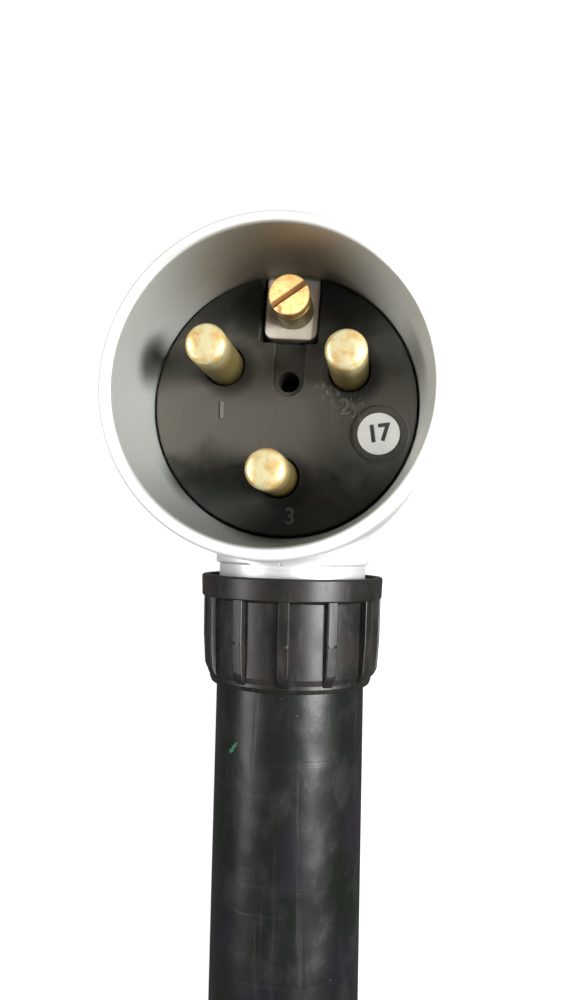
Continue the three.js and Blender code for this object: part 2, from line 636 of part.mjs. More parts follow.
// Each core leaves the sheath, spreads along its own chosen points and ends upright under its barrel, or
// level against the earth tab.
function plugCores() {
  const jacketEnd = -(NECK_STEP_AT + JACKET_START - 2 * SEAT_GAP);
  const sheathEnd = -(NECK_STEP_AT - INNER_SHEATH_REACH);
  const coreEnd = BARREL_END - SEAT_GAP;
  const upright = (angle) => {
    const { x, y } = polar(PIN_CIRCLE_R, angle + INSULATOR_TURN);
    return [[x, y, coreEnd - 8.2], [x, y, coreEnd - 4], [x, y, coreEnd]];
  };
  const tabFace = polar(TAB_INNER_R - SEAT_GAP, 90 + INSULATOR_TURN);
  const tabBefore = polar(TAB_INNER_R - SEAT_GAP - 4, 90 + INSULATOR_TURN);
  const spreads = [
    [[-0.25, -1.03, 0.98], [-0.46, -0.71, 0.64], [-0.56, -0.27, 0.36], [-0.54, 0.09, 0.31]],
    [[0.24, -1.03, 0.98], [0.44, -0.71, 0.64], [0.46, -0.27, 0.36], [0.5, 0.04, 0.31]],
    [[-0.12, -1.05, 0.63], [-0.07, -0.8, 0.33]],
    [[0.17, -0.98, 0.66], [0.23, -0.62, 0.31], [0.19, -0.18, 0.27], [0.09, 0.22, 0.38]],
  ];
  const ends = [
    ...PIN_ANGLES.map(upright),
    [tabBefore, tabFace].map(({ x, y }) => [x, y, EARTH_WIRE_HEIGHT]),
  ];
  return spreads.map((spread, i) => {
    const [across, up] = corePlaces[i];
    const height = NECK_AXIS_HEIGHT + up;
    const points = [[across, jacketEnd, height], [across, sheathEnd - 8, height], [across, sheathEnd, height]];
    return tubeAlong([...points, ...spread.map(inChamber), ...ends[i]], CORE_R, CORE_FACETS, CORE_STEPS);
  });
}

function plugConductors() {
  const start = BARREL_END;
  const upright = PIN_ANGLES.map((angle) => {
    const { x, y } = polar(PIN_CIRCLE_R, angle + INSULATOR_TURN);
    return bar(CONDUCTOR_R, start, start + CONDUCTOR_IN_HOLE, 12).translate(x, y, 0);
  });
  const level = bar(CONDUCTOR_R, TAB_INNER_R, EARTH_PLACE_R, 12)
    .rotateX(-Math.PI / 2)
    .rotateZ(radians(INSULATOR_TURN))
    .translate(0, 0, EARTH_WIRE_HEIGHT);
  return [...upright, level];
}

// In the connector the cores fan out from the sheath to the backs of the contacts.
function connectorEnds() {
  const contacts = PIN_ANGLES.map((angle) => polar(PIN_CIRCLE_R, 180 - angle));
  const stud = polar(EARTH_STUD_PLACE_R, 90);
  return [...contacts.map((place) => [place, SOCKET_END]), [stud, -(SOCKET_BLOCK_LENGTH + EARTH_STUD_TAIL)]];
}

// The core that starts nearest to each contact, so that none crosses another.
const connectorCorePlaces = [
  [CORE_SPREAD, -CORE_SPREAD],
  [-CORE_SPREAD, CORE_SPREAD],
  [-CORE_SPREAD, -CORE_SPREAD],
  [CORE_SPREAD, CORE_SPREAD],
];

function connectorCores() {
  const jacketEnd = CONNECTOR_STEP - (JACKET_START - 2 * SEAT_GAP);
  const sheathEnd = CONNECTOR_STEP + INNER_SHEATH_REACH;
  return connectorEnds().map(([place, end], i) => {
    const [x, y] = connectorCorePlaces[i];
    const stop = end - SEAT_GAP;
    const middle = (sheathEnd + stop) / 2;
    return tubeAlong([
      [x, y, jacketEnd],
      [x, y, sheathEnd - 8],
      [x, y, sheathEnd],
      [(x + place.x) / 2, (y + place.y) / 2, middle],
      [place.x, place.y, stop - 8],
      [place.x, place.y, stop],
    ], CORE_R, CORE_FACETS, CORE_STEPS);
  });
}

// ---- Free cord and coil ----------------------------------------------------------------------------------

const LAYER_RISE = CORD_DIAMETER + COIL_TURN_GAP;
const COIL_INNER_R = COIL_MEAN_R - (LAYER_RISE * COIL_TURNS) / 4;
const COIL_OUTER_R = COIL_INNER_R + (LAYER_RISE * COIL_TURNS) / 2;
const COIL_BED = TIE_THICKNESS + SEAT_GAP; // the coil lies on its ties
const COIL_LOW = COIL_BED + CORD_R;
const COIL_END_RUN = CORD_DIAMETER; // straight at each end

// The centre line of the coil at a number of turns from its start at the left.
function coilPoint(turns) {
  const half = COIL_TURNS / 2;
  const soften = 0.04;
  const climb = THREE.MathUtils.clamp((turns - half + 0.25) / 0.5, 0, 1);
  const radius = COIL_INNER_R + LAYER_RISE * Math.hypot(turns - half, soften);
  const height = COIL_LOW + LAYER_RISE * (0.5 - 0.5 * Math.cos(Math.PI * climb));
  const place = polar(radius, 180 + 360 * turns);
  return new THREE.Vector3(COIL_OUTER_R + place.x, COIL_CENTRE_Y + place.y, height);
}

function coilLine() {
  const points = [];
  const steps = COIL_TURNS * COIL_STEPS;
  for (let i = 0; i <= steps; i += 1) points.push(coilPoint(i / COIL_STEPS));
  const first = points[0].clone().add(new THREE.Vector3(0, COIL_END_RUN, 0));
  const last = points[steps].clone().add(new THREE.Vector3(0, COIL_END_RUN, 0));
  return [first, ...points, last];
}

// One unbroken tube along a line, with rings that stay upright.
function coiledTube(line, radius, sides) {
  const position = [];
  line.forEach((point, i) => {
    const before = line[Math.max(i - 1, 0)];
    const after = line[Math.min(i + 1, line.length - 1)];
    const along = new THREE.Vector3().subVectors(after, before).normalize();
    const across = new THREE.Vector3(along.y, -along.x, 0).normalize();
    const up = new THREE.Vector3().crossVectors(across, along);
    for (let k = 0; k < sides; k += 1) {
      const corner = polar(radius, 90 + (360 * k) / sides);
      const at = point.clone().addScaledVector(across, corner.x).addScaledVector(up, corner.y);
      position.push(at.x, at.y, at.z);
    }
  });
  const index = [];
  for (let i = 0; i + 1 < line.length; i += 1) {
    for (let k = 0; k < sides; k += 1) {
      const a = i * sides + k;
      const b = i * sides + ((k + 1) % sides);
      index.push(a, b + sides, b, a, a + sides, b + sides);
    }
  }
  const last = (line.length - 1) * sides;
  for (let k = 1; k + 1 < sides; k += 1) {
    index.push(0, k, k + 1, last, last + k + 1, last + k);
  }
  return new THREE.BufferGeometry()
    .setAttribute('position', new THREE.Float32BufferAttribute(position, 3))
    .setIndex(index);
}

// The least room between one turn and another, measured between points of the centre line.
function leastTurnGap() {
  const perTurn = 180;
  const points = [];
  for (let i = 0; i <= COIL_TURNS * perTurn; i += 1) points.push(coilPoint(i / perTurn));
  let least = Infinity;
  points.forEach((point, i) => {
    for (let k = i + perTurn / 2; k < points.length; k += 1) {
      least = Math.min(least, point.distanceTo(points[k]));
    }
  });
  return least - CORD_DIAMETER;
}

function lineLength(points) {
  return points.slice(1).reduce((sum, point, i) => sum + point.distanceTo(points[i]), 0);
}

// From the plug's gland, straight out of the view at its own height, then down to the coil's first turn.
function leadRoute() {
  const start = -(NECK_STEP_AT + JACKET_START);
  const end = COIL_CENTRE_Y + COIL_END_RUN + SEAT_GAP;
  return [
    [0, start, NECK_AXIS_HEIGHT],
    [0, -70, NECK_AXIS_HEIGHT],
    [0, -95, NECK_AXIS_HEIGHT],
    [0, -120, 20.8],
    [0, -145, 20.2],
    [0, -170, 19.2],
    [0, -195, 18.2],
    [0, -220, COIL_LOW + 0.1],
    [0, -245, COIL_LOW],
    [0, end, COIL_LOW],
  ];
}

// From the coil's last turn, over the air between, down to the connector that lies beside it.
function tailRoute() {
  const high = COIL_LOW + LAYER_RISE;
  const startX = coilPoint(COIL_TURNS).x;
  const start = COIL_CENTRE_Y + COIL_END_RUN + SEAT_GAP;
  const end = CONNECTOR_FACE_Y + CONNECTOR_STEP - JACKET_START;
  return [
    [startX, start, high],
    [startX, start + 16, high - 0.2],
    [startX - 1.4, start + 42, high - 3.2],
    [startX - 4.6, start + 70, high - 9],
    [CONNECTOR_X + 2.4, end - 52, CONNECTOR_HEIGHT + 2.4],
    [CONNECTOR_X + 0.3, end - 26, CONNECTOR_HEIGHT + 0.2],
    [CONNECTOR_X, end - 12, CONNECTOR_HEIGHT],
    [CONNECTOR_X, end, CONNECTOR_HEIGHT],
  ];
}

// A strap round the bundle of turns, across the coil at one angle.
function coilTie(angle) {
  const turns = [];
  for (let t = ((angle - 180 + 360) % 360) / 360; t <= COIL_TURNS; t += 1) turns.push(coilPoint(t));
  const reach = turns.map((point) => Math.hypot(point.x - COIL_OUTER_R, point.y - COIL_CENTRE_Y));
  const inner = Math.min(...reach) - CORD_R - TIE_SIDE_GAP;
  const outer = Math.max(...reach) + CORD_R + TIE_SIDE_GAP;
  const top = COIL_LOW + LAYER_RISE + CORD_R + SEAT_GAP;
  const bottom = COIL_BED - SEAT_GAP;
  const t = TIE_THICKNESS;
  const strap = roundedBox(inner - t, bottom - t, outer + t, top + t, TIE_CORNER_R + t);
  strap.holes.push(new THREE.Path(roundedBox(inner, bottom, outer, top, TIE_CORNER_R).getPoints(4)));
  return slab(strap, -TIE_WIDTH / 2, TIE_WIDTH / 2)
    .rotateX(Math.PI / 2)
    .rotateZ(radians(angle))
    .translate(COIL_OUTER_R, COIL_CENTRE_Y, 0);
}

// ---- Connector -------------------------------------------------------------------------------------------
// Made about Z with its face at 0, looking up, and its gland below.

function connectorShell() {
  const edge = 0.6;
  const outside = revolve([
    [0, CONNECTOR_STEP - THREAD_LENGTH],
    [THREAD_R, CONNECTOR_STEP - THREAD_LENGTH],
    [THREAD_R, CONNECTOR_STEP],
    [NECK_R, CONNECTOR_STEP],
    [NECK_R, TAPER_END],
    [SHELL_R - 1.5, SHELL_END - 2],
    [SHELL_R, SHELL_END + 2],
    [SHELL_R, BEHIND_FLANGE],
    [FLANGE_R - edge, BEHIND_FLANGE],
    [FLANGE_R, BEHIND_FLANGE + edge],
    [FLANGE_R, -NOSE_LENGTH - edge],
    [FLANGE_R - edge, -NOSE_LENGTH],
    [NOSE_R, -NOSE_LENGTH],
    [NOSE_R, -edge],
    [NOSE_R - edge, 0],
    [0, 0],
  ], BIG_FACETS);
  const blockBack = -(SOCKET_BLOCK_LENGTH + SEAT_GAP);
  const hollow = revolve([
    [0, CONNECTOR_STEP - THREAD_LENGTH - 1],
    [NECK_BORE_R, CONNECTOR_STEP - THREAD_LENGTH - 1],
    [NECK_BORE_R, TAPER_END],
    [SHELL_BORE_R, SHELL_END],
    [SHELL_BORE_R, blockBack],
    [BLOCK_R + SIDE_GAP, blockBack],
    [BLOCK_R + SIDE_GAP, 1],
    [0, 1],
  ], BIG_FACETS);
  const screwHoles = [0, 180].map((angle) =>
    screwAcross(SHELL_SCREW_R + SIDE_GAP, SHELL_BORE_R - 1, SHELL_R + 1, angle)
      .translate(0, 0, -SHELL_SCREW_AT));
  return cut(outside, hollow, keyway(0), ...screwHoles);
}

// The slot for the plug's earth tab, widened all round by a gap.
function keyway(grow) {
  const half = EARTH_SLOT_IN_NOSE / 2 + grow;
  const outline = outlineOf([
    [-half, EARTH_SLOT_INNER_R - grow],
    [half, EARTH_SLOT_INNER_R - grow],
    [half, NOSE_R + 1],
    [-half, NOSE_R + 1],
  ]);
  return slab(outline, -EARTH_SLOT_SINK, 1);
}

function connectorBlock() {
  const edge = 0.5;
  const back = -SOCKET_BLOCK_LENGTH;
  const block = revolve([
    [0, back],
    [BLOCK_R, back],
    [BLOCK_R, -edge],
    [BLOCK_R - edge, 0],
    [0, 0],
  ], NUT_FACETS);
  const bores = PIN_ANGLES.map((angle) => {
    const place = polar(PIN_CIRCLE_R, 180 - angle);
    return revolve([
      [0, back - 1],
      [SLEEVE_R + SIDE_GAP, back - 1],
      [SLEEVE_R + SIDE_GAP, -SOCKET_ENTRY_DEPTH],
      [SOCKET_ENTRY_R, -SOCKET_ENTRY_DEPTH],
      [SOCKET_ENTRY_R, -0.6],
      [SOCKET_ENTRY_R + 0.6, 0],
      [SOCKET_ENTRY_R + 0.6, 1],
      [0, 1],
    ], PIN_FACETS).translate(place.x, place.y, 0);
  });
  const studHole = bar(EARTH_STUD_R + SIDE_GAP, back - 1, 1).translate(0, EARTH_STUD_PLACE_R, 0);
  const threads = [0, 180].map((angle) =>
    screwAcross(SHELL_SCREW_R + SIDE_GAP, SHELL_R - SHELL_SCREW_LENGTH - 1, BLOCK_R + 1, angle)
      .translate(0, 0, -SHELL_SCREW_AT));
  return cut(block, ...bores, keyway(0), studHole, ...threads);
}

// A socket sleeve in front, and a barrel that takes the wire behind.
function socketContact(angle) {
  const place = polar(PIN_CIRCLE_R, 180 - angle);
  const front = -(SOCKET_ENTRY_DEPTH + SEAT_GAP);
  const sleeve = bar(SLEEVE_R, SOCKET_END, front, PIN_FACETS);
  const bore = bar(SOCKET_BORE_R, -SOCKET_DEPTH, front + 1, PIN_FACETS);
  const wireHole = bar(WIRE_HOLE_R, SOCKET_END - 1, SOCKET_END + WIRE_HOLE_DEPTH);
  const screwHole = screwAcross(TERMINAL_SCREW_R + SIDE_GAP, 0, SLEEVE_R + 1, 180 - angle)
    .translate(0, 0, SOCKET_END + TERMINAL_SCREW_AT);
  return cut(sleeve, bore, wireHole, screwHole).translate(place.x, place.y, 0);
}

function earthStud() {
  const foot = -EARTH_SLOT_SINK + SEAT_GAP;
  const end = -(SOCKET_BLOCK_LENGTH + EARTH_STUD_TAIL);
  const stud = revolve([
    [0, end],
    [EARTH_STUD_R, end],
    [EARTH_STUD_R, foot],
    [EARTH_STUD_HEAD_R, foot],
    [EARTH_STUD_HEAD_R, foot + EARTH_STUD_HEAD_HEIGHT],
    [0, foot + EARTH_STUD_HEAD_HEIGHT],
  ], PIN_FACETS);
  const wireHole = bar(CONDUCTOR_R, end - 1, end + EARTH_STUD_TAIL, 12);
  return cut(stud, wireHole).translate(0, EARTH_STUD_PLACE_R, 0);
}

function shellScrew(angle) {
  const seat = SHELL_R + SEAT_GAP;
  const top = seat + SHELL_SCREW_HEAD_HEIGHT;
  const upright = revolve([
    [0, SHELL_R - SHELL_SCREW_LENGTH],
    [SHELL_SCREW_R, SHELL_R - SHELL_SCREW_LENGTH],
    [SHELL_SCREW_R, seat],
    [SHELL_SCREW_HEAD_R, seat],
    [SHELL_SCREW_HEAD_R, top],
    [0, top],
  ], 16);
  return slotted(upright, top, SHELL_SCREW_HEAD_R, SHELL_SCREW_SLOT, SHELL_SCREW_SLOT, 0)
    .rotateY(Math.PI / 2)
    .rotateZ(radians(angle))
    .translate(0, 0, -SHELL_SCREW_AT);
}

function connectorConductors() {
  return connectorEnds().map(([place, end], i) => {
    const isEarth = i === PIN_ANGLES.length;
    const depth = isEarth ? EARTH_STUD_TAIL - 1 : CONDUCTOR_IN_HOLE;
    const radius = isEarth ? CONDUCTOR_R - SIDE_GAP : CONDUCTOR_R;
    return bar(radius, end, end + depth, 12).translate(place.x, place.y, 0);
  });
}

// ---- Assembly --------------------------------------------------------------------------------------------

function plug() {
  const group = new THREE.Group();
  const front = new THREE.Group();
  front.rotation.z = radians(INSULATOR_TURN);
  front.add(piece('insulator', plugInsulator(), blackPhenolic));
  PIN_ANGLES.forEach((angle, i) => {
    front.add(
      piece(`pin_${i + 1}`, plugPin(angle), brass),
      piece(
        `terminal_screw_${i + 1}`,
        terminalScrew(angle, PIN_CIRCLE_R, BARREL_END + TERMINAL_SCREW_AT),
        brass,
      ),
    );
  });
  const label = bar(LABEL_R, LABEL_FLOOR + 0.02, LABEL_FLOOR + 0.02 + LABEL_THICKNESS, PIN_FACETS)
    .translate(LABEL_PLACE.x, LABEL_PLACE.y, 0);
  front.add(
    piece('earth_pillar', earthPillar(), brass),
    piece('earth_screw', earthScrew(), brass),
    piece('insulator_screw', fixingScrew(), steel),
    piece('number_label', label, whiteLabel),
  );
  const gland = cableGland('');
  gland.rotation.x = Math.PI / 2;
  gland.position.set(0, -NECK_STEP_AT, NECK_AXIS_HEIGHT);
  const finishes = [...coreFinishes, earthCoreFinish];
  plugCores().forEach((core, i) => group.add(piece(CORE_NAMES[i], core, finishes[i])));
  plugConductors().forEach((wire, i) =>
    group.add(piece(CORE_NAMES[i].replace('core', 'conductor'), wire, copper)));
  group.add(piece('plug_housing', plugHousing(), castAluminium), front, gland);
  return group;
}

function connector() {
  const group = new THREE.Group();
  group.add(
    piece('connector_shell', connectorShell(), castAluminium),
    piece('connector_insulator', connectorBlock(), blackPhenolic),
    piece('connector_earth_stud', earthStud(), brass),
  );
  PIN_ANGLES.forEach((angle, i) => {
    group.add(
      piece(`socket_contact_${i + 1}`, socketContact(angle), brass),
      piece(
        `connector_terminal_screw_${i + 1}`,
        terminalScrew(180 - angle, PIN_CIRCLE_R, SOCKET_END + TERMINAL_SCREW_AT),
        brass,
      ),
    );
  });
  [0, 180].forEach((angle, i) => group.add(piece(`connector_screw_${i + 1}`, shellScrew(angle), steel)));
  const gland = cableGland('connector_');
  gland.rotation.x = Math.PI;
  gland.position.set(0, 0, CONNECTOR_STEP);
  const finishes = [...coreFinishes, earthCoreFinish];
  connectorCores().forEach((core, i) => group.add(piece(`connector_${CORE_NAMES[i]}`, core, finishes[i])));
  connectorConductors().forEach((wire, i) =>
    group.add(piece(`connector_${CORE_NAMES[i].replace('core', 'conductor')}`, wire, copper)));
  group.add(gland);
  const facingAlongY = new THREE.Matrix4().makeBasis(
    new THREE.Vector3(-1, 0, 0),
    new THREE.Vector3(0, 0, 1),
    new THREE.Vector3(0, 1, 0),
  );
  group.setRotationFromMatrix(facingAlongY);
  group.position.set(CONNECTOR_X, CONNECTOR_FACE_Y, CONNECTOR_HEIGHT);
  return group;
}

function cord() {
  const group = new THREE.Group();
  const line = coilLine();
  const lead = leadRoute();
  const tail = tailRoute();
  const lengths = [lead, tail].map((route) =>
    new THREE.CatmullRomCurve3(route.map((point) => new THREE.Vector3(...point))).getLength());
  const whole = (lengths[0] + lengths[1] + lineLength(line)) / 1000;
  console.log(`cord ${whole.toFixed(2)} m, least gap between turns ${leastTurnGap().toFixed(2)} mm`);
  group.add(
    piece('cord_lead', tubeAlong(lead, CORD_R, CORD_SIDES, 6), blackRubber),
    piece('cord_coil', coiledTube(line, CORD_R, COIL_SIDES), blackRubber),
    piece('cord_tail', tubeAlong(tail, CORD_R, CORD_SIDES, 10), blackRubber),
  );
  TIE_ANGLES.forEach((angle, i) => group.add(piece(`coil_tie_${i + 1}`, coilTie(angle), tieFabric)));
  return group;
}

const shorePowerLead = new THREE.Group();
shorePowerLead.add(plug(), cord(), connector());
console.log(`each gland nut backs off ${NUT_TRAVEL} mm in ${NUT_BACK_OFF_TURNS} turns`);

export default shorePowerLead;
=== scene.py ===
# %% [markdown]
# # A shore power lead
# An angled metal plug lies on its back with three brass pins pointing up. A heavy rubber cord leaves
# its gland nut, runs out of the picture into a tied coil, and ends in a matching in-line connector.
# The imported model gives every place. This script dresses it: each piece that shows is modelled again
# with its fine edges, and gets a finish made of nodes.

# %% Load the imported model
import math

import bmesh
import bpy
import numpy as np
from mathutils import Matrix, Vector


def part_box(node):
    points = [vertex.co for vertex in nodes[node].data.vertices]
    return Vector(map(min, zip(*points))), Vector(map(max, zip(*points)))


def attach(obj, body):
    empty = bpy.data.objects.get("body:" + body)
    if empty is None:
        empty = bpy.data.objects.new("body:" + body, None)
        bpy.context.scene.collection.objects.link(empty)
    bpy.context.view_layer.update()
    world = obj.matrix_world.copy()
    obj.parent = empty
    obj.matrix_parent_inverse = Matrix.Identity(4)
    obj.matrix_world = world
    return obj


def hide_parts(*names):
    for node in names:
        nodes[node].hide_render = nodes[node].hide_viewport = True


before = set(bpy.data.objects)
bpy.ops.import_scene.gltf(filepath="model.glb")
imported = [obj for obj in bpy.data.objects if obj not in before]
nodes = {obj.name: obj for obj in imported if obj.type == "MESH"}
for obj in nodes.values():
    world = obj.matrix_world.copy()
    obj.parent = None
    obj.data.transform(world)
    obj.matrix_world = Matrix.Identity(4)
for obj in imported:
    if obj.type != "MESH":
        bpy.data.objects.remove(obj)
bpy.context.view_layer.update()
MM = 0.001

# %% [markdown]
# ## The camera
# The photo was taken from close above the cup, a little to its right, so the near rim looks wide and
# the pins lean outwards. A short lens at 176 mm gives that strong perspective, where a long lens
# would flatten it. The place and the two directions come from fitting the rim, the pins, the nut and
# the cord together.

# %% Camera
FOCAL_PIXELS = 750
LONG_SIDE_PIXELS = 1000
SENSOR = 36
CAMERA_PLACE = Vector((17.70, -24.69, 176.05)) * MM
CAMERA_FORWARD = Vector((-0.12975, 0.05257, -0.99015)).normalized()
CAMERA_UP = Vector((-0.01629, 0.99835, 0.05514))


def new_object(name, data):
    """An object that shows some data, in the scene."""
    made = bpy.data.objects.new(name, data)
    bpy.context.collection.objects.link(made)
    return made


def add_camera():
    data = bpy.data.cameras.new("camera")
    data.sensor_width = SENSOR
    data.lens = SENSOR * FOCAL_PIXELS / LONG_SIDE_PIXELS
    data.clip_start = 0.01
    camera = new_object("camera", data)
    right = CAMERA_FORWARD.cross(CAMERA_UP).normalized()
    up = right.cross(CAMERA_FORWARD)
    turn = Matrix((right, up, -CAMERA_FORWARD)).transposed()
    camera.matrix_world = Matrix.Translation(CAMERA_PLACE) @ turn.to_4x4()
    bpy.context.scene.camera = camera
    return camera


camera = add_camera()
print("lens:", camera.data.lens, "mm")

# %% [markdown]
# ## The line of the cord
# The cord is one flexible thing of fixed length. It leaves the gland level, sinks to the ground,
# winds inwards in one layer and outwards again in a second layer on top, and comes down to the
# connector. The two free stretches are listed points, and the turns come from a formula, because
# a coil is a rule.

# %% Route of the cord
CORD_DIAMETER = 0.030
CORD_R = CORD_DIAMETER / 2
COIL_TURNS = 6.5
COIL_MEAN_R = 0.168
LAYER_RISE = 0.0306
COIL_LOW = 0.0171
COIL_CENTRE = Vector((0.21773, -0.302))
COIL_INNER_R = COIL_MEAN_R - LAYER_RISE * COIL_TURNS / 4
TURN_STEPS = 36
CORD_STEP = 0.0045

LEAD_POINTS = [
    (0, -0.0506, 0.021),
    (0, -0.070, 0.021),
    (0, -0.095, 0.021),
    (0, -0.120, 0.0208),
    (0, -0.145, 0.0202),
    (0, -0.170, 0.0192),
    (0, -0.195, 0.0182),
    (0, -0.220, 0.0172),
    (0, -0.245, 0.0171),
    (0, -0.2717, 0.0171),
]
TAIL_POINTS = [
    (0.43546, -0.2717, 0.0477),
    (0.43546, -0.2557, 0.0475),
    (0.43406, -0.2297, 0.0445),
    (0.43086, -0.2017, 0.0387),
    (0.4264, -0.1692, 0.0314),
    (0.4243, -0.1432, 0.0292),
    (0.424, -0.1292, 0.029),
    (0.424, -0.1172, 0.029),
]


def coil_point(turns):
    half = COIL_TURNS / 2
    climb = min(max((turns - half + 0.25) / 0.5, 0), 1)
    radius = COIL_INNER_R + LAYER_RISE * math.hypot(turns - half, 0.04)
    angle = math.pi + math.tau * turns
    height = COIL_LOW + LAYER_RISE * (0.5 - 0.5 * math.cos(math.pi * climb))
    return (COIL_CENTRE.x + radius * math.cos(angle), COIL_CENTRE.y + radius * math.sin(angle), height)


def run_lengths(points):
    """How far along a line of points each one lies."""
    return np.concatenate([[0], np.cumsum(np.linalg.norm(np.diff(points, axis=0), axis=1))])


def at_places(places, line):
    """The points of a line at some distances along it."""
    along = run_lengths(line)
    return np.column_stack([np.interp(places, along, line[:, k]) for k in range(line.shape[1])])


def smooth_line(points, step):
    """Points at an even step along a smooth curve through the given ones."""
    p = np.array(points, float)
    p = np.vstack([2 * p[0] - p[1], p, 2 * p[-1] - p[-2]])
    knots = np.concatenate([[0], np.cumsum(np.sqrt(np.linalg.norm(np.diff(p, axis=0), axis=1)))])
    fine = [p[1]]
    for i in range(1, len(p) - 2):
        a, b, c, d = p[i - 1 : i + 3]
        ta, tb, tc, td = knots[i - 1 : i + 3]
        for t in np.linspace(tb, tc, 17)[1:]:
            ab = (a * (tb - t) + b * (t - ta)) / (tb - ta)
            bc = (b * (tc - t) + c * (t - tb)) / (tc - tb)
            cd = (c * (td - t) + d * (t - tc)) / (td - tc)
            abc = (ab * (tc - t) + bc * (t - ta)) / (tc - ta)
            bcd = (bc * (td - t) + cd * (t - tb)) / (td - tb)
            fine.append((abc * (tc - t) + bcd * (t - tb)) / (tc - tb))
    fine = np.array(fine)
    length = run_lengths(fine)[-1]
    return at_places(np.linspace(0, length, round(length / step) + 1), fine), length


turn_points = [coil_point(i / TURN_STEPS) for i in range(1, int(COIL_TURNS * TURN_STEPS))]
turn_points = [coil_point(0)] + turn_points + [coil_point(COIL_TURNS)]
cord_line, cord_length = smooth_line(LEAD_POINTS + turn_points + TAIL_POINTS, CORD_STEP)
print(f"cord: {cord_length:.3f} m in {len(cord_line)} steps")

# %% [markdown]
# ## The cord as a mesh
# A curve with a bevel would do, but a mesh tube can carry a UV map that runs in metres along the
# cord, which the scuffs of the jacket follow. The rings are carried along the line without twist.

# %% Cord mesh
CORD_SIDES = 40


def shade(mesh, sharp_angle=30):
    """Smooth shading that leaves the edges past an angle sharp."""
    mesh.shade_smooth()
    mesh.set_sharp_from_angle(angle=math.radians(sharp_angle))


def finished(name, vertices, faces, sharp_angle=30, place=None):
    """A closed mesh with its faces turned outwards and its sharp edges marked."""
    mesh = bpy.data.meshes.new(name)
    mesh.from_pydata([tuple(v) for v in vertices], [], faces)
    if place is not None:
        mesh.transform(place)
    shape = bmesh.new()
    shape.from_mesh(mesh)
    bmesh.ops.remove_doubles(shape, verts=shape.verts, dist=1e-7)
    bmesh.ops.recalc_face_normals(shape, faces=shape.faces)
    shape.to_mesh(mesh)
    shape.free()
    shade(mesh, sharp_angle)
    return new_object(name, mesh)


def skin(rings, sides, closed=False):
    """Four-cornered faces between rings of points that are numbered one after the other."""
    faces = []
    for i in range(rings if closed else rings - 1):
        up = ((i + 1) % rings - i) * sides
        for k in range(sides):
            a, b = i * sides + k, i * sides + (k + 1) % sides
            faces.append((a, b, b + up, a + up))
    return faces


def tube(name, line, radius, sides):
    """A round tube along a line, with a UV map in metres: across in U, along in V."""
    line = np.asarray(line)
    along = np.gradient(line, axis=0)
    along /= np.linalg.norm(along, axis=1)[:, None]
    side = np.cross(along[0], (0, 0, 1))
    vertices = []
    for point, forward in zip(line, along):
        side = side - forward * side.dot(forward)
        side /= np.linalg.norm(side)
        up = np.cross(side, forward)
        for k in range(sides):
            angle = math.tau * k / sides
            vertices.append(point + radius * (math.cos(angle) * side + math.sin(angle) * up))
    faces = skin(len(line), sides)
    last = (len(line) - 1) * sides
    faces.append(tuple(range(sides))[::-1])
    faces.append(tuple(last + k for k in range(sides)))
    mesh = bpy.data.meshes.new(name)
    mesh.from_pydata(vertices, [], faces)
    lengths = run_lengths(line)
    uv = mesh.uv_layers.new(name="jacket")
    for face in mesh.polygons:
        for loop in face.loop_indices:
            index = mesh.loops[loop].vertex_index
            ring, k = divmod(index, sides)
            closing = any(mesh.loops[j].vertex_index % sides == sides - 1 for j in face.loop_indices)
            around = sides if k == 0 and closing else k
            uv.data[loop].uv = (around / sides * math.tau * radius, lengths[ring])
    shade(mesh, 50)
    return new_object(name, mesh)


cord = tube("cord", cord_line, CORD_R, CORD_SIDES)
print("cord faces:", len(cord.data.polygons))

# %% [markdown]
# ## The stage
# The photo has a blown-out white ground with no shadow on it, and the rubber does not mirror it, so
# the floor glows and is kept out of glossy reflections. The key lamp stands to the right, 37 degrees
# up: the pins throw their soft shadows on the left wall of the cup. A wide, weak lamp fills from the
# left, and a third lamp, higher on the right, draws the streak of light on the cord that fades away
# from the nut. All stand far off, so that the coil and the connector are lit as evenly as the plug.
# The sky is dim, and dimmest towards the photographer.

# %% Floor, lamps and sky
FLOOR_HALF = 12.0


def add_floor():
    mesh = bpy.data.meshes.new("floor")
    corners = [(x * FLOOR_HALF, y * FLOOR_HALF, 0) for x, y in ((-1, -1), (1, -1), (1, 1), (-1, 1))]
    mesh.from_pydata(corners, [], [(0, 1, 2, 3)])
    floor = new_object("floor", mesh)
    paper = bpy.data.materials.new("white_paper")
    paper.use_nodes = True
    surface = paper.node_tree.nodes["Principled BSDF"].inputs
    surface["Base Color"].default_value = (0.20, 0.20, 0.20, 1)
    surface["Roughness"].default_value = 0.9
    surface["Emission Color"].default_value = (1, 1, 1, 1)
    surface["Emission Strength"].default_value = 0.9
    mesh.materials.append(paper)
    floor.visible_glossy = False


def add_lamp(name, towards, distance, size, power, target=(0, -0.02, 0.04)):
    """A rectangular lamp that stands off from a target in one direction and shines back at it."""
    data = bpy.data.lights.new(name, "AREA")
    data.shape = "RECTANGLE"
    data.size, data.size_y = size
    data.energy = power
    away = Vector(towards).normalized()
    lamp = new_object(name, data)
    lamp.location = Vector(target) + away * distance
    lamp.rotation_euler = away.to_track_quat("Z", "Y").to_euler()


